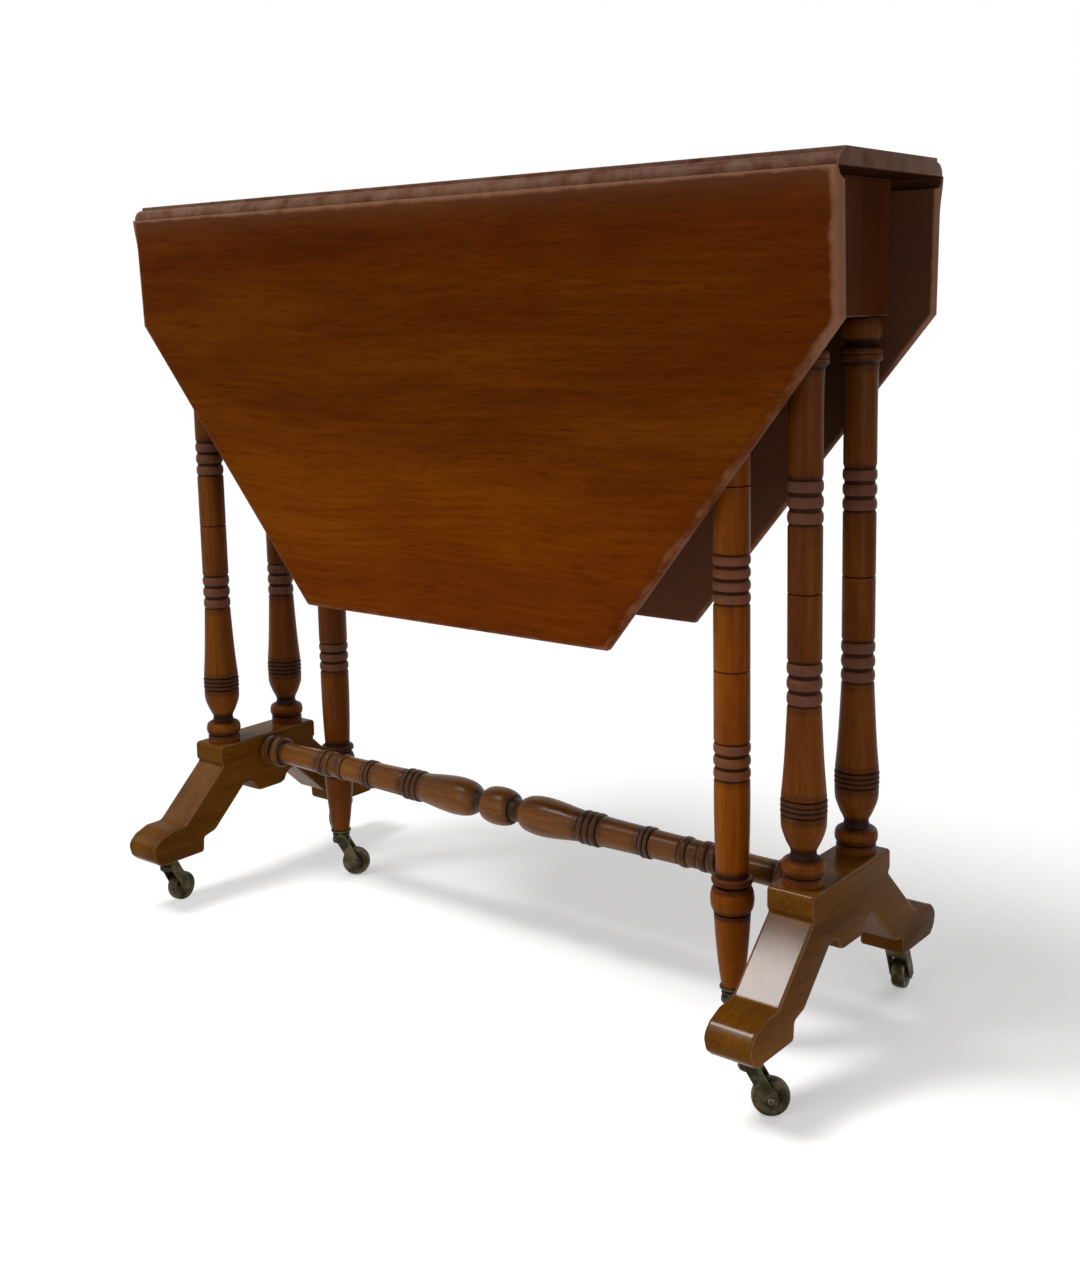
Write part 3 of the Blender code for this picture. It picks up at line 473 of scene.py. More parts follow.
# the crest and band numbers set how far ring crests and bands take the worn colour, partly painted
# highlight; the hollow numbers set how much darker the hollows are
turnedMarks = {
    "crest": 0.0008, "hollow": 0.0009, "nearHollow": 0.00022, "nearHollowMost": 0.62, "bandFloor": -0.0002,
    "bandWearAndHighlight": 0.72, "bandGain": 0.25, "bandCrest": 0.0006, "bandHollow": 0.0006, "bandGrimeAndShade": 0.95,
}


def turnedSkin(profile, steps=56, square=None, closed=False, bands=()):
    # the profile swept round Z; a square stretch uses |cos|^p + |sin|^p = 1 with a high power p
    # crests take the worn colour, partly wear and partly painted highlight, and hollows and what lies near
    # them are darker; each band (middle, height) takes the worn colour all over as painted highlight, darker
    # in its grooves
    angle = np.linspace(0, 2 * np.pi, steps, endpoint=False)
    power = np.full(len(profile), 2.0) if square is None else square
    lobes = np.abs(np.cos(angle)) ** power[:, None] + np.abs(np.sin(angle)) ** power[:, None]
    radius = profile[:, :1] * lobes ** (-1 / power[:, None])
    height = np.broadcast_to(profile[:, 1:], radius.shape)
    rings = np.stack([radius * np.cos(angle), radius * np.sin(angle), height], -1)
    rise, nearHollow = crestsAndHollows(profile)
    m = turnedMarks
    wear = np.clip(rise / m["crest"], 0, 1)
    grime = np.clip(-rise / m["hollow"], 0, 1) + np.clip(nearHollow / m["nearHollow"], 0, m["nearHollowMost"])
    # painted highlight: over each band the worn colour stands for highlights on the rings, more on the
    # crests
    bandWearAndHighlightLevel = m["bandWearAndHighlight"] + m["bandGain"] * np.clip(rise / m["bandCrest"], 0, 1)
    for middle, tall in bands:
        inside = np.abs(profile[:, 1] - middle) < tall / 2
        wear = np.where(inside & (rise > m["bandFloor"]), bandWearAndHighlightLevel, wear)
        grime = np.where(inside, np.clip(-rise / m["bandHollow"], 0, m["bandGrimeAndShade"]), grime)
    return shell(rings, closed, wear[:, None], np.clip(grime, 0, 1)[:, None])


columnSettings = {
    "shaft": 0.0131, "ring": 0.0135, "cap": 0.0168, "vase": 0.0180, "waist": 0.0100, "base": 0.0174,
    "band": 0.035, "upperBand": 0.4490, "lowerBand": 0.3115, "groove": 0.0011, "gap": 0.0014,
}


def columnProfile(s, top, foot):
    # cap, shaft with two bands of rings and a scribed line, vase, waist and base
    shaft, ring, cap, vase = s["shaft"], s["ring"], s["cap"], s["vase"]
    valley = shaft - s["groove"]
    middle = (s["upperBand"] + s["lowerBand"]) / 2
    return np.concatenate([
        [(0.80 * cap, top)],
        bead(top, top - 0.018, 0.76 * cap, cap),
        smoothRun([(0.76 * cap, top - 0.0185), (0.88 * shaft, top - 0.021), (0.97 * cap, top - 0.0235)], 4),
        [(cap, top - 0.0245), (cap, top - 0.0275), (0.965 * cap, top - 0.028), (0.965 * cap, top - 0.0285)],
        [(cap, top - 0.029), (cap, top - 0.0322), (0.95 * cap, top - 0.0332)],
        smoothRun([(1.07 * shaft, top - 0.0352), (1.03 * shaft, top - 0.045), (shaft, top - 0.065),
                   (shaft, s["upperBand"] + 0.58 * s["band"])], 5),
        ringBand(s["upperBand"], s["band"], 3, valley, ring, s["gap"]),
        [(shaft, s["upperBand"] - 0.54 * s["band"]), (shaft, middle + 0.002)],
        scribe(middle, shaft),
        [(shaft, middle - 0.002), (shaft, s["lowerBand"] + 0.54 * s["band"])],
        ringBand(s["lowerBand"], s["band"], 3, valley, ring, s["gap"]),
        smoothRun([(shaft, s["lowerBand"] - 0.52 * s["band"]), (1.03 * shaft, foot + 0.130),
                   (0.55 * shaft + 0.45 * vase, foot + 0.096), (0.97 * vase, foot + 0.0695)], 8),
        ringBand(foot + 0.062, 0.012, 3, 0.90 * vase, vase),
        smoothRun([(0.985 * vase, foot + 0.0545), (0.95 * vase, foot + 0.0445), (0.76 * vase, foot + 0.0345),
                   (s["waist"], foot + 0.0265), (1.1 * s["waist"], foot + 0.0210)], 7),
        [(1.35 * s["waist"], foot + 0.0202)],
        bead(foot + 0.0195, foot + 0.0075, 0.80 * s["base"], s["base"]),
        [(0.88 * s["base"], foot + 0.0068), (0.92 * s["base"], foot + 0.0060), (0.92 * s["base"], foot)],
    ])


gateSettings = {
    "shaft": 0.0145, "ring": 0.0149, "bulb": 0.0178, "tip": 0.0088, "block": 0.015, "groove": 0.0011,
    "gap": 0.0013, "squarePower": 36.0, "steps": 64,
    "upperBand": 0.3840, "upperHeight": 0.040, "lowerBand": 0.2385, "lowerHeight": 0.031,
    "collar": 0.1395, "bulbHeight": 0.022, "blockHeight": 0.095,
}


def gateLegProfile(s, top, bottom):
    # the turned shaft, and the power that squares off the block above it
    shaft, ring, bulb = s["shaft"], s["ring"], s["bulb"]
    block = top - s["blockHeight"]
    valley = shaft - s["groove"]
    pitch = s["upperBand"] - s["lowerBand"]
    squared = np.array([(s["block"] - 0.0008, top), (s["block"], top - 0.0008), (s["block"], block + 0.03),
                        (s["block"], block + 0.0012), (s["block"] - 0.0010, block)])
    low = s["collar"] - 0.0045
    turnedPart = np.concatenate([
        [(0.92 * shaft, block - 0.0003), (0.90 * shaft, block - 0.004)],
        bead(block - 0.005, block - 0.016, 0.90 * shaft, ring),
        smoothRun([(shaft, block - 0.017), (shaft, s["upperBand"] + pitch / 2 + 0.003)], 6),
        scribe(s["upperBand"] + pitch / 2, shaft),
        [(shaft, s["upperBand"] + pitch / 2 - 0.003), (shaft, s["upperBand"] + 0.54 * s["upperHeight"])],
        ringBand(s["upperBand"], s["upperHeight"], 4, valley, ring, s["gap"]),
        [(shaft, s["upperBand"] - 0.54 * s["upperHeight"]), (shaft, s["upperBand"] - pitch / 2 + 0.003)],
        scribe(s["upperBand"] - pitch / 2, shaft),
        [(shaft, s["upperBand"] - pitch / 2 - 0.003), (shaft, s["lowerBand"] + 0.54 * s["lowerHeight"])],
        ringBand(s["lowerBand"], s["lowerHeight"], 3, valley, ring, s["gap"]),
        smoothRun([(shaft, s["lowerBand"] - 0.54 * s["lowerHeight"]), (shaft, 0.20), (0.96 * shaft, 0.17),
                   (0.89 * shaft, s["collar"] + 0.005)], 8),
        bead(s["collar"] + 0.0035, s["collar"] - 0.003, 0.93 * shaft, 0.95 * bulb, 11),
        bead(low, low - s["bulbHeight"], 0.88 * shaft, bulb, 17),
        smoothRun([(0.84 * bulb, low - s["bulbHeight"] - 0.001), (0.76 * bulb, low - 0.045),
                   (0.62 * bulb, low - 0.070), (s["tip"], bottom)], 8),
    ])
    profile = np.concatenate([squared, turnedPart])
    power = np.concatenate([np.full(len(squared), s["squarePower"]), np.full(len(turnedPart), 2.0)])
    return profile, power


stretcherSettings = {
    "slim": 0.0115, "vase": 0.0180, "ball": 0.0178, "neck": 0.0107, "ring": 0.0158, "height": 0.136,
}


def stretcherProfile(s, end):
    # half of the stretcher, from one end to the ball, then mirrored
    slim, vase, ball, neck, ring = s["slim"], s["vase"], s["ball"], s["neck"], s["ring"]
    half = np.concatenate([
        [(0.78 * ring, end)],
        bead(end - 0.0003, end - 0.012, 0.76 * ring, ring),
        bead(end - 0.0135, end - 0.0245, 0.74 * ring, ring),
        smoothRun([(0.98 * slim, end - 0.026), (0.96 * slim, end - 0.045), (1.02 * slim, 0.242)], 8),
        ringBand(0.231, 0.018, 2, 0.96 * slim, 1.15 * slim),
        smoothRun([(1.03 * slim, 0.2205), (1.05 * slim, 0.212)], 3),
        ringBand(0.207, 0.008, 1, 0.98 * slim, 1.17 * slim),
        smoothRun([(1.06 * slim, 0.202), (1.09 * slim, 0.174)], 5),
        ringBand(0.168, 0.010, 2, 1.02 * slim, 1.22 * slim),
        smoothRun([(1.11 * slim, 0.162), (1.14 * slim, 0.140), (1.18 * slim, 0.1195)], 5),
        ringBand(0.1075, 0.021, 3, 1.10 * slim, 1.33 * slim),
        smoothRun([(1.20 * slim, 0.0965), (0.82 * vase, 0.088), (0.96 * vase, 0.066), (vase, 0.050),
                   (0.90 * vase, 0.036), (1.10 * neck, 0.0275)], 7),
        [(neck, 0.0255), (0.98 * neck, 0.0235), (neck, 0.0205)],
        bead(0.0165, -0.0165, 1.06 * neck, ball, 31)[:16],
    ])
    return np.concatenate([half, (half * (1, -1))[-2::-1]])


clearance = 0.0003  # left between a turned piece and the piece it stands against
bodies = frame["record"]["behaviour"]["bodies"]
bodyOfNode = {node: body for body, nodes in bodies.items() for node in nodes}
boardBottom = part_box("right_end_board")[0].z
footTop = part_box("right_foot")[1].z
upright = {end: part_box(end + "_foot") for end in ("left", "right")}
bands = [(columnSettings[name], columnSettings["band"]) for name in ("upperBand", "lowerBand")]
profile = columnProfile(columnSettings, boardBottom - clearance, footTop + clearance)
column = turnedSkin(profile, bands=bands)
for end in ("left", "right"):
    for side in ("front", "back"):
        node = f"{side}_{end}_column"
        low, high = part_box(node)
        place = Matrix.Translation(((low.x + high.x) / 2, (low.y + high.y) / 2, 0))
        addPiece(node + "Turned", [moved(column, place)], "turnedWood", "frame", node)

for side in ("front", "back"):
    node = side + "_gate_leg"
    low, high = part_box(node)
    profile, power = gateLegProfile(gateSettings, high.z, low.z)
    place = Matrix.Translation(((low.x + high.x) / 2, (low.y + high.y) / 2, 0))
    bands = [(gateSettings[name + "Band"], gateSettings[name + "Height"]) for name in ("upper", "lower")]
    skin = moved(turnedSkin(profile, gateSettings["steps"], power, bands=bands), place)
    # painted light: the front gate leg takes the lit copy of the turned wood, the back one the plain turned
    # wood
    finish = "gateWood" if side == "front" else "turnedWood"
    addPiece(node + "Turned", [skin], finish, bodyOfNode[node], node)

stretcherEnd = upright["right"][0].x - clearance
alongX = Matrix.Translation((0, 0, stretcherSettings["height"])) @ Matrix.Rotation(math.pi / 2, 4, "Y")
skin = moved(turnedSkin(stretcherProfile(stretcherSettings, stretcherEnd)), alongX)
addPiece("stretcherTurned", [skin], "stretcherWood", "frame", "stretcher")
print("turned work made")


# planks: a closed outline given its thickness, with rounded edges


def roundedOutline(corners, count=6):
    # each corner (across, up, radius) becomes an arc, a weighted quadratic, that touches both its sides
    given = np.array(corners, float)
    place, radius = given[:, :2], given[:, 2]
    before, after = np.roll(place, 1, 0) - place, np.roll(place, -1, 0) - place
    longBefore, longAfter = np.hypot(*before.T), np.hypot(*after.T)
    before, after = before / longBefore[:, None], after / longAfter[:, None]
    opening = np.arccos(np.clip((before * after).sum(1), -1, 1))
    reach = np.minimum(radius / np.tan(opening / 2), 0.49 * np.minimum(longBefore, longAfter))
    t = np.linspace(0, 1, count)[None, :, None]
    start, end = place + before * reach[:, None], place + after * reach[:, None]
    start, middle, end = start[:, None, :], place[:, None, :], end[:, None, :]
    weight = np.sin(opening / 2)[:, None, None]
    top = (1 - t) ** 2 * start + 2 * weight * t * (1 - t) * middle + t ** 2 * end
    return (top / ((1 - t) ** 2 + 2 * weight * t * (1 - t) + t ** 2)).reshape(-1, 2)


def outwardNormals(outline):
    # a quarter turn from the run between a point's neighbours
    onward = np.roll(outline, -1, 0)
    run = onward - np.roll(outline, 1, 0)
    area = np.sum(outline[:, 0] * onward[:, 1] - onward[:, 0] * outline[:, 1])
    normal = np.stack([run[:, 1], -run[:, 0]], -1) * np.sign(area)
    return normal / np.maximum(np.hypot(*normal.T), 1e-9)[:, None]


def roundedEnds(low, high, radius, between, count=5):
    # stations from low to high, closer near both ends, and how far the outline draws in at each
    turn = np.linspace(0, np.pi / 2, count)
    start, inset = low + radius * (1 - np.cos(turn)), radius * (1 - np.sin(turn))
    share = (1 - np.cos(np.linspace(0, np.pi, between + 2)[1:-1])) / 2
    middle = low + radius + (high - low - 2 * radius) * share
    stations = np.concatenate([start, middle, (low + high - start)[::-1]])
    return stations, np.concatenate([inset, np.zeros(between), inset[::-1]])


def plankSkin(outline, low, high, radius, between=6, wearReach=0.004, endWear=0.1, **sides):
    # the outline carried along X, drawn in at both ends; wear falls off from them as exp(-gap / reach)
    # the flat ends are worn as much as given; sides gives the wear, the grime and painted shade, and the
    # polish round the outline
    stations, inset = roundedEnds(low, high, radius, between)
    flat = outline[None] - outwardNormals(outline)[None] * inset[:, None, None]
    along = np.broadcast_to(stations[:, None], flat.shape[:2])
    rings = np.stack([along, flat[..., 0], flat[..., 1]], -1)
    gap = np.minimum(stations - low, high - stations)
    inside = (gap > 1e-9)[:, None]
    marks = {key: inside * value for key, value in sides.items()}
    wear = np.maximum(np.exp(-gap / wearReach)[:, None], sides.get("wear", 0.0))
    marks["wear"] = np.where(inside, wear, endWear)
    return shell(rings, **marks)


footSettings = {
    "platform": 0.0652, "riser": 0.0172, "inset": 0.003, "toe": 0.1555, "toeHeight": 0.0327,
    "toeLength": 0.0632, "arch": 0.107, "pendant": 0.0135, "pendantDrop": 0.0133, "edge": 0.0018,
    "slope": 0.73, "slopeSpan": 0.12, "wearReach": 0.0012,
}


def footCorners(s, top, bottom):
    # half of the outline with a radius at each corner, from the platform round the toe to the pendant
    toe, toeTop, heel = s["toe"], bottom + s["toeHeight"], s["toe"] - s["toeLength"]
    ledge, pendant, arch = top - s["riser"], s["pendant"], s["arch"]
    half = [
        (s["platform"], top, 0.0040), (s["platform"], ledge, 0.0022),
        (s["platform"] - s["inset"], ledge - 0.003, 0.0030),
        (toe - 0.0402, toeTop, 0.008), (toe - 0.0225, toeTop, 0.010), (toe - 0.0080, toeTop - 0.0055, 0.010),
        (toe - 0.0018, toeTop - 0.0115, 0.009), (toe, bottom + 0.0160, 0.010),
        (toe - 0.0025, bottom + 0.0065, 0.009), (toe - 0.0095, bottom, 0.006),
        (heel + 0.002, bottom, 0.0022), (heel, bottom + 0.0025, 0.0022),
        (heel - 0.001, bottom + 0.015, 0.003), (heel - 0.0155, bottom + 0.0187, 0.010),
        (pendant + 0.0233, arch - 0.0003, 0.004), (pendant + 0.0165, arch + 0.0005, 0.004),
        (pendant + 0.0105, arch - 0.002, 0.004), (pendant + 0.0055, arch - 0.0105, 0.003),
        (pendant, arch - s["pendantDrop"] + 0.001, 0.003),
    ]
    return half + [(-across, up, radius) for across, up, radius in reversed(half)]


boardSettings = {"lowRound": 0.0015, "highRound": 0.001, "edge": 0.0012, "wearReach": 0.002}

for end in ("left", "right"):
    low, high = upright[end]
    outline = roundedOutline(footCorners(footSettings, high.z, low.z))
    rise = outwardNormals(outline)[:, 1]
    polish = np.exp(-((rise - footSettings["slope"]) / footSettings["slopeSpan"]) ** 2)
    edge, reach = footSettings["edge"], footSettings["wearReach"]
    skin = plankSkin(outline, low.x, high.x, edge, between=10, wearReach=reach, polish=polish)
    addPiece(end + "FootSawn", [skin], "footWood", "frame", end + "_foot")
    low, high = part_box(end + "_end_board")
    corners = [(low.y, low.z, boardSettings["lowRound"]), (high.y, low.z, boardSettings["lowRound"]),
               (high.y, high.z, boardSettings["highRound"]), (low.y, high.z, boardSettings["highRound"])]
    outline = roundedOutline(corners)
    edge, reach = boardSettings["edge"], boardSettings["wearReach"]
    skin = plankSkin(outline, low.x, high.x, edge, between=2, wearReach=reach)
    addPiece(end + "EndBoardSawn", [skin], "boardWood", "frame", end + "_end_board")

topSettings = {
    "hingeY": 0.074, "hingeZ": 0.6875, "ovolo": 0.0095, "lip": 0.0030, "edge": 0.0004,
    "wearReach": 0.003, "endWear": 0.75, "sideWear": 0.72, "sideReach": 0.0015, "underShade": 0.75,
}


def topOutline(s, top, underside):
    # flat top, a step down to a quarter round at each long edge, flat underside
    turn = np.linspace(np.pi / 2, 0, 18)
    hinge, ovolo = s["hingeY"], s["ovolo"]
    quarter = np.stack([hinge + ovolo * np.cos(turn), s["hingeZ"] + ovolo * np.sin(turn)], -1)
    right = np.concatenate([
        [(0, top), (0.5 * hinge, top), (hinge - 0.0009, top), (hinge - 0.0003, top - 0.0003)],
        [(hinge, top - 0.0009), (hinge, top - s["lip"] + 0.0003)],
        quarter,
        [(hinge + ovolo, underside), (0.5 * hinge, underside)],
    ])
    return np.concatenate([right, [(0, underside)], (right * (-1, 1))[:0:-1]])


low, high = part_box("centre_top")
outline = topOutline(topSettings, high.z, low.z)
outside = np.abs(outline[:, 0]) > topSettings["hingeY"] - topSettings["sideReach"]
# painted shade: the flat underside of the top takes the dark grime colour, standing in for shade under the
# overhang
undersideShadeMask = np.isclose(outline[:, 1], low.z)
sides = {"wear": topSettings["sideWear"] * outside, "grime": topSettings["underShade"] * undersideShadeMask}
skin = plankSkin(outline, low.x, high.x, topSettings["edge"], 24, topSettings["wearReach"],
                 topSettings["endWear"], **sides)
addPiece("centreTopBoard", [skin], "topWood", "frame", "centre_top", 30)
print("planks made")

# drop leaves: x along the table, v down the leaf from the hinge axis, w out through its thickness

leafSettings = {
    "length": 0.774, "tip": 0.349, "drop": 0.3685, "side": 0.1045, "lipEnd": 0.0003, "cove": 0.010,
    "outer": 0.0125, "inner": -0.001, "frontRound": 0.0070, "backRound": 0.0025, "lipRound": 0.0014,
    "easeReach": 0.03, "tilt": math.radians(2.1), "hingeY": topSettings["hingeY"],
    "hingeZ": topSettings["hingeZ"], "lipWearAndHighlight": 0.004, "haze": 0.009, "wear": 0.0085, "innerShare": 3.0,
    "lowFade": 0.38, "fadeReach": 0.05, "rimSteps": 8, "tipSteps": 26, "clipSteps": 34, "faceSteps": 40,
    "coveSteps": 16,
}


def roundOver(distance, radius):
    # how far a quarter round of that radius falls below the face, at a distance from the edge
    share = np.clip(distance / radius, 0, 1)
    return radius * (1 - np.sqrt(np.clip(1 - (1 - share) ** 2, 0, 1)))


def leafSkin(s):
    # each section across the leaf is a loop: outer face, lower edge, inner face, cove and lip
    # wear, partly painted highlight on the rounded edges and the lip, falls off from the edges as exp(-(gap
    # / reach)^2), and is weaker below the ends
    half, tip = s["length"] / 2, s["tip"] / 2
    slope = (s["drop"] - s["side"]) / (half - tip)
    lean = 1 / math.hypot(1, slope)
    near = s["frontRound"] * (1 - np.cos(np.linspace(0, np.pi / 2, s["rimSteps"])))
    overTip = np.linspace(0, tip, s["tipSteps"])
    overClip = np.linspace(tip, half - s["frontRound"], s["clipSteps"])
    side = np.concatenate([overTip, overClip[1:], half - near[::-1][1:]])
    x = np.concatenate([-side[:0:-1], side])
    clipped = s["side"] + (half - np.abs(x)) * slope
    lowest = np.minimum(s["drop"], clipped)
    fall = near[None, :] / np.where(np.abs(x) < tip, 1, lean)[:, None]
    share = np.linspace(0, 1, s["faceSteps"])[None, :]
    rim = lowest[:, None] - fall[:, ::-1]
    first, second = s["lipEnd"], s["cove"]
    outerV = np.concatenate([first + (rim[:, :1] - first) * share, rim[:, 1:]], 1)
    innerV = np.concatenate([second + (rim[:, :1] - second) * share, rim[:, 1:]], 1)[:, ::-1]
    endGap = half - np.abs(x)[:, None]

    def edgeDistance(v):
        # to the nearest of the clipped corner, the lower edge and the end
        nearest = np.minimum((clipped[:, None] - v) * lean, s["drop"] - v)
        return np.maximum(np.minimum(nearest, endGap), 0)

    outerGap, innerGap = edgeDistance(outerV), edgeDistance(innerV)
    ease = np.clip(outerV / s["easeReach"], 0, 1)
    outerRound = s["lipRound"] + (s["frontRound"] - s["lipRound"]) * ease * ease * (3 - 2 * ease)
    outerW = s["outer"] - roundOver(outerGap, outerRound)
    innerW = s["inner"] + roundOver(innerGap, s["backRound"])
    turn = np.linspace(0, np.arccos(first / second), s["coveSteps"])
    coveV = np.broadcast_to(second * np.cos(turn), (len(x), len(turn)))
    coveW = np.broadcast_to(second * np.sin(turn), coveV.shape)
    v, w = np.concatenate([outerV, innerV, coveV], 1), np.concatenate([outerW, innerW, coveW], 1)
    innerGaps = np.concatenate([innerGap, np.broadcast_to(endGap, coveV.shape)], 1) * s["innerShare"]
    # painted highlight: the pale worn colour along the lip and rounded edges also stands in for light
    # catching them
    lipWornAndHighlight = np.exp(-((outerV - first) / s["lipWearAndHighlight"]) ** 2)
    outerWornAndHighlight = np.maximum(np.exp(-(outerGap / s["wear"]) ** 2), lipWornAndHighlight)
    worn = np.concatenate([outerWornAndHighlight, np.exp(-(innerGaps / s["wear"]) ** 2)], 1)
    worn *= 1 - s["lowFade"] * np.clip((v - s["side"]) / s["fadeReach"], 0, 1)
    haze = np.exp(-(outerV - first) / s["haze"])
    bare = np.concatenate([haze, np.ones(innerV.shape), np.ones(coveV.shape)], 1)
    along = np.broadcast_to(x[:, None], v.shape)
    sine, cosine = math.sin(s["tilt"]), math.cos(s["tilt"])
    across = -s["hingeY"] + v * sine - w * cosine
    up = s["hingeZ"] - v * cosine - w * sine
    return shell(np.stack([along, across, up], -1), wear=worn, bare=bare)


leaf = leafSkin(leafSettings)
addPiece("frontLeafBoard", [leaf], "leafWood", "front_leaf", "front_leaf", 30)
halfTurn = Matrix.Rotation(math.pi, 4, "Z")
addPiece("backLeafBoard", [moved(leaf, halfTurn)], "leafWood", "back_leaf", "back_leaf", 30)
print("leaves made")

# casters

casterSettings = {
    "trail": 0.015, "wheel": 0.0145, "width": 0.013, "bore": 0.0023, "axle": 0.0020, "crown": 0.0094,
    "crownLow": 0.0365, "crownHigh": 0.0470, "stem": 0.0030, "stemBore": 0.0033, "plate": 0.0105,
    "plateLow": 0.0478, "plateHigh": 0.0500, "boss": 0.0070, "bossLow": 0.0473, "rivet": 0.0045,
    "rivetLow": 0.0344, "rivetHigh": 0.0362, "cheek": 0.0020, "cheekInner": 0.0073, "cheekEnd": 0.0055,
    "cheekEdge": 0.0006, "cheekWear": 0.001, "flank": 0.86, "treadFall": 0.075,
    "turns": {"front_left": 97, "front_right": 32, "back_left": 163, "back_right": 100,
              "front_gate": 39, "back_gate": 39},
}


def linkOutline(first, firstRadius, second, secondRadius, count=14):
    # round one circle, straight to the other, round it and straight back
    run = np.array(second) - np.array(first)
    heading = math.atan2(run[1], run[0])
    lean = math.acos((firstRadius - secondRadius) / np.hypot(*run))
    far = np.linspace(heading - lean, heading + lean, count)
    near = np.linspace(heading + lean, heading + 2 * math.pi - lean, count)
    ends = [np.array(second) + secondRadius * np.stack([np.cos(far), np.sin(far)], -1),
            np.array(first) + firstRadius * np.stack([np.cos(near), np.sin(near)], -1)]
    return np.concatenate(ends)


def casterSkins(s):
    # plate, horn, axle and wheel about the swivel axis, trailing along +X
    plate = turnedSkin(np.array([
        (0.96 * s["plate"], s["plateHigh"]), (s["plate"], s["plateHigh"] - 0.0003),
        (s["plate"], s["plateLow"] + 0.0005), (0.95 * s["plate"], s["plateLow"]),
        (s["boss"], s["plateLow"]), (s["boss"], s["bossLow"]),
        (s["stem"], s["bossLow"]), (s["stem"], s["rivetHigh"]), (s["rivet"], s["rivetHigh"]),
        (0.9 * s["rivet"], s["rivetLow"] + 0.0006), (0.5 * s["rivet"], s["rivetLow"])]), 40)
    low, high, wide = s["crownLow"], s["crownHigh"], s["crown"]
    crown = turnedSkin(np.concatenate([
        [(s["stemBore"], high), (0.72 * wide, high), (0.80 * wide, high - 0.0008)],
        bead(high - 0.001, high - 0.0042, 0.82 * wide, 0.96 * wide, 9),
        smoothRun([(0.86 * wide, high - 0.0046), (0.96 * wide, high - 0.0064), (wide, low + 0.0012)], 4),
        [(0.95 * wide, low), (s["stemBore"], low)]]), 40, None, True)
    axle = (s["trail"], s["wheel"])
    outline = linkOutline((0, (low + high) / 2), (high - low) / 2, axle, s["cheekEnd"])
    reach = s["cheekInner"] + s["cheek"]
    cheek = plankSkin(outline, s["cheekInner"], reach, s["cheekEdge"], between=1, wearReach=s["cheekWear"])
    cheeks = []
    for sign in (1, -1):
        points = cheek["points"][:, [1, 0, 2]] * (1, sign, 1)  # X and Y swapped, one side mirrored
        faces = [face[::-1] for face in cheek["faces"]] if sign == 1 else cheek["faces"]
        cheeks.append({**cheek, "points": points, "faces": faces})
    across = Matrix.Translation((s["trail"], 0, s["wheel"])) @ Matrix.Rotation(math.pi / 2, 4, "X")
    half = np.array([(0.4 * s["axle"], reach + 0.0012), (0.85 * s["axle"], reach + 0.0010),
                     (1.25 * s["axle"], reach + 0.0002), (s["axle"], reach + 0.0001)])
    pin = turnedSkin(np.concatenate([half, (half * (1, -1))[::-1]]), 28)
    edge, rim = s["width"] / 2, s["wheel"]
    flank, fall = s["flank"], s["treadFall"]
    hub = np.array([
        (s["bore"], edge), (0.36 * rim, edge), (0.42 * rim, 0.94 * edge), (0.47 * rim, 0.80 * edge),
        (0.60 * rim, 0.76 * edge), (0.78 * rim, flank * edge), (0.88 * rim, flank * edge)])
    tread = np.linspace(flank, 0, 9)
    crest = np.stack([rim * (1 - fall * (tread / flank) ** 3), tread * edge], -1)
    half = np.concatenate([hub, crest])
    wheel = turnedSkin(np.concatenate([half, (half * (1, -1))[-2::-1]]), 56, None, True)
    return [plate], [crown, *cheeks], [moved(pin, across)], [moved(wheel, across)]


plateSkins, hornSkins, axleSkins, wheelSkins = casterSkins(casterSettings)
for corner, turn in casterSettings["turns"].items():
    low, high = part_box(corner + "_caster_plate")
    place = Matrix.Translation(((low.x + high.x) / 2, (low.y + high.y) / 2, 0))
    turned = place @ Matrix.Rotation(math.radians(turn), 4, "Z")
    metal = "darkBrass" if corner.endswith("gate") else "oldBrass"
    sets = {
        "plate": (plateSkins, place, metal, "old_brass"),
        "horn": (hornSkins, turned, metal, "old_brass"),
        "axle": (axleSkins, turned, "darkSteel", "dark_steel"),
        "wheel": (wheelSkins, turned, metal, "old_brass"),
    }
    for part, (skins, matrix, finish, slotName) in sets.items():
        node = f"{corner}_caster_{part}"
        placed = [moved(skin, matrix) for skin in skins]
        addPiece(node + "Cast", placed, finish, bodyOfNode[node], node)
print("casters made")

# CAD pieces that keep their shape

keptFinishes = {"old_brass": "hingeBrass", "dark_steel": "darkSteel", "board_wood": "railWood"}
slotOfNode = {entry["node"]: entry["material_slot"] for entry in frame["record"]["subparts"]}
for node, piece in frame["nodes"].items():
    if not piece.hide_render:
        piece.data.materials.clear()
        piece.data.materials.append(finishes[keptFinishes[slotOfNode[node]]])

# floor, light and camera

stageSettings = {
    "radius": 9.0, "sides": 96, "shade": 0.95, "roughness": 0.9, "specular": 0.1, "glow": 0.30,
    "fadeStart": 0.30, "fadeEnd": 0.80, "fadeFrom": (0.12, 0.10, 0.0), "sky": 0.20,
    "white": (1, 1, 1, 1), "black": (0, 0, 0, 1),
}


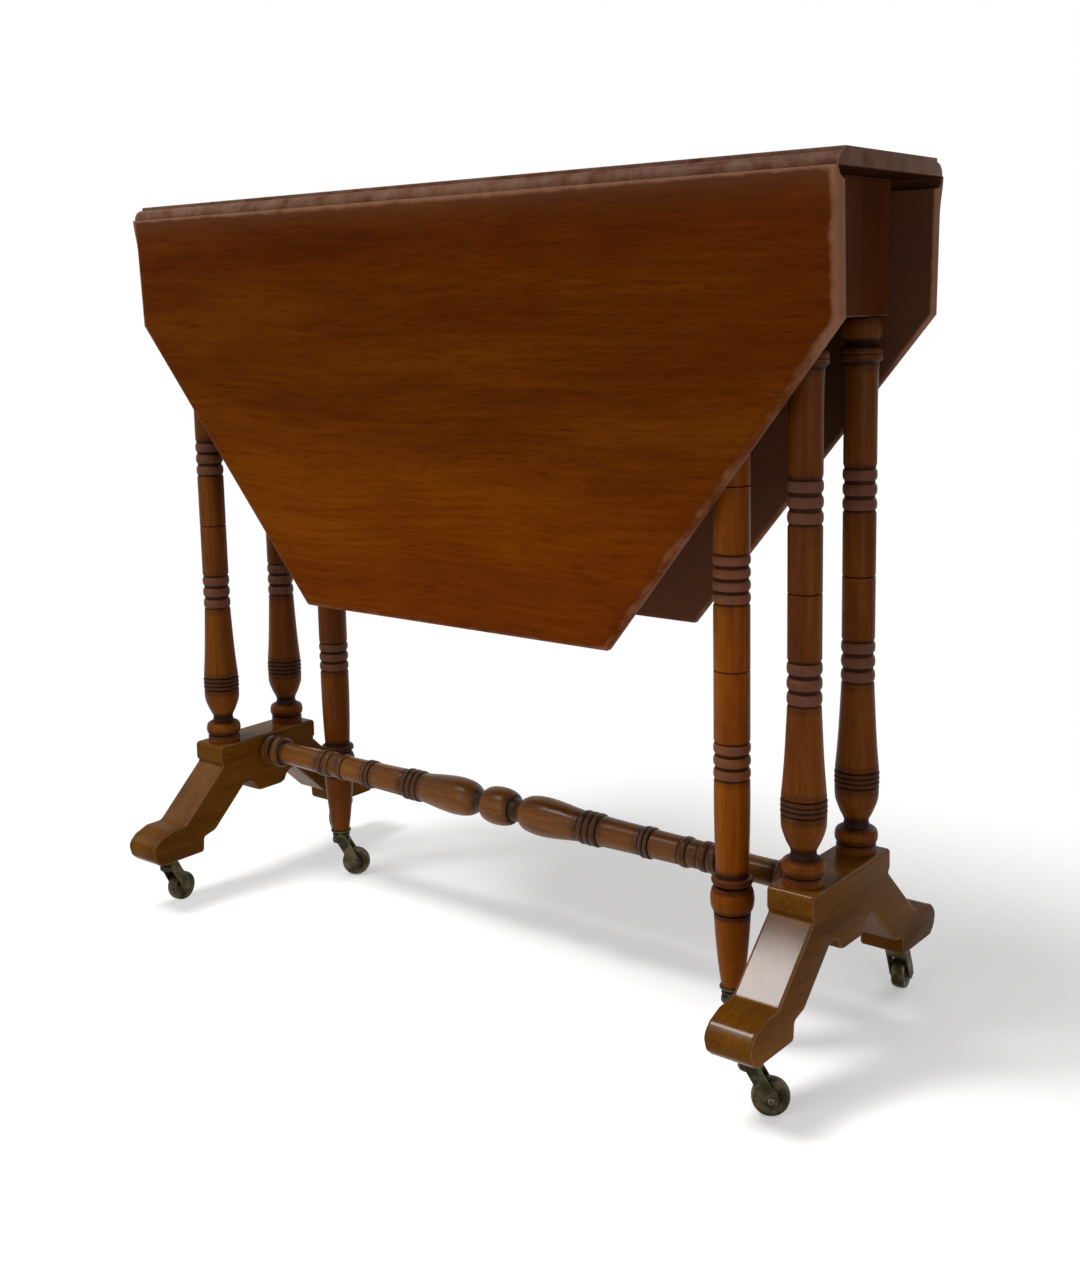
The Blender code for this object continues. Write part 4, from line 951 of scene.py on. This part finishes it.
def floorLook(s):
    # a pale floor that keeps the shadow near the table and fades to white away from it, in the picture only
    look = Look(bpy.data.materials.new("paleFloor"))
    shade = opaque((s["shade"],) * 3)
    look.set(Base_Color=shade, Roughness=s["roughness"], Specular_IOR_Level=s["specular"])
    place = look.node("ShaderNodeTexCoord", {}, {}, "Object")
    sockets = {0: place, 1: s["fadeFrom"]}
    distance = look.node("ShaderNodeVectorMath", {"operation": "DISTANCE"}, sockets, "Value")
    fade = look.step(distance, s["fadeStart"], s["fadeEnd"])
    seen = look.seen()
    glow = look.blend(seen, s["black"], opaque((s["glow"],) * 3))
    look.set(Emission_Color=glow, Emission_Strength=1.0)
    white = look.node("ShaderNodeEmission", {}, {"Color": s["white"], "Strength": 1.0})
    sockets = {0: fade * seen, 1: Wire(look, look.shader.outputs[0]), 2: white}
    mixed = look.node("ShaderNodeMixShader", {}, sockets)
    look.feed(look.tree.nodes["Material Output"].inputs["Surface"], mixed)
    return look.owner


turn = np.linspace(0, 2 * np.pi, stageSettings["sides"], endpoint=False)
ring = np.stack([np.cos(turn), np.sin(turn), 0 * turn], -1) * stageSettings["radius"]
floorMesh = bpy.data.meshes.new("floor")
floorMesh.from_pydata(ring.tolist(), [], [list(range(len(ring)))])
floorMesh.materials.append(floorLook(stageSettings))
floor = bpy.data.objects.new("floor", floorMesh)
bpy.context.scene.collection.objects.link(floor)
floor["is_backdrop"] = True

world = bpy.data.worlds.new("studio")
bpy.context.scene.world = world
# the sky lights the table dimly but shows as white
studio = Look(world, "Background")
sockets = {"Value": studio.seen(), "To Min": stageSettings["sky"]}
studio.set(Color=stageSettings["white"], Strength=studio.node("ShaderNodeMapRange", {}, sockets))

lampSettings = {
    "window": {"place": (-1.03, -1.17, 2.54), "size": 0.42, "power": 9.0},
    "key": {"place": (-0.80, -0.75, 2.4), "size": 0.9, "power": 36.0},
    "front": {"place": (-0.3, -2.6, 1.0), "size": 1.8, "power": 16.0},
    "side": {"place": (1.25, -0.55, 0.45), "size": 0.7, "power": 3.0},
    "back": {"place": (0.4, 2.4, 1.4), "size": 1.6, "power": 12.0},
}
lampAim = Vector((0, 0, 0.35))
for name, s in lampSettings.items():
    lamp = bpy.data.lights.new(name, "AREA")
    lamp.shape = "DISK"
    lamp.size = s["size"]
    lamp.energy = s["power"]
    piece = bpy.data.objects.new(name, lamp)
    piece.location = s["place"]
    piece.rotation_euler = (lampAim - piece.location).to_track_quat("-Z", "Y").to_euler()
    bpy.context.scene.collection.objects.link(piece)

cameraSettings = {
    "place": (0.8847, -1.0327, 0.5975), "yaw": 38.826, "pitch": 8.592, "roll": -1.206,
    "focalPixels": 1517.4, "longSidePixels": 1266, "shiftPixels": -100, "near": 0.05, "far": 60,
}


def addCamera(s):
    # yaw turns from +Y towards -X, pitch looks down, roll turns about the view
    yaw, pitch, roll = (math.radians(s[key]) for key in ("yaw", "pitch", "roll"))
    level = Vector((-math.sin(yaw), math.cos(yaw), 0))
    forward = level * math.cos(pitch) - Vector((0, 0, math.sin(pitch)))
    right = Vector((math.cos(yaw), math.sin(yaw), 0))
    up = right.cross(forward)
    right, up = (math.cos(roll) * right + math.sin(roll) * up, math.cos(roll) * up - math.sin(roll) * right)
    data = bpy.data.cameras.new("camera")
    data.lens = s["focalPixels"] * data.sensor_width / s["longSidePixels"]
    data.shift_y = s["shiftPixels"] / s["longSidePixels"]
    data.clip_start, data.clip_end = s["near"], s["far"]
    camera = bpy.data.objects.new("camera", data)
    turn = Matrix((right, up, -forward)).transposed().to_4x4()
    camera.matrix_world = Matrix.Translation(s["place"]) @ turn
    bpy.context.scene.collection.objects.link(camera)
    bpy.context.scene.camera = camera


addCamera(cameraSettings)
bpy.context.scene.view_settings.view_transform = "Standard"
print("stage set")

low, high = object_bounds()
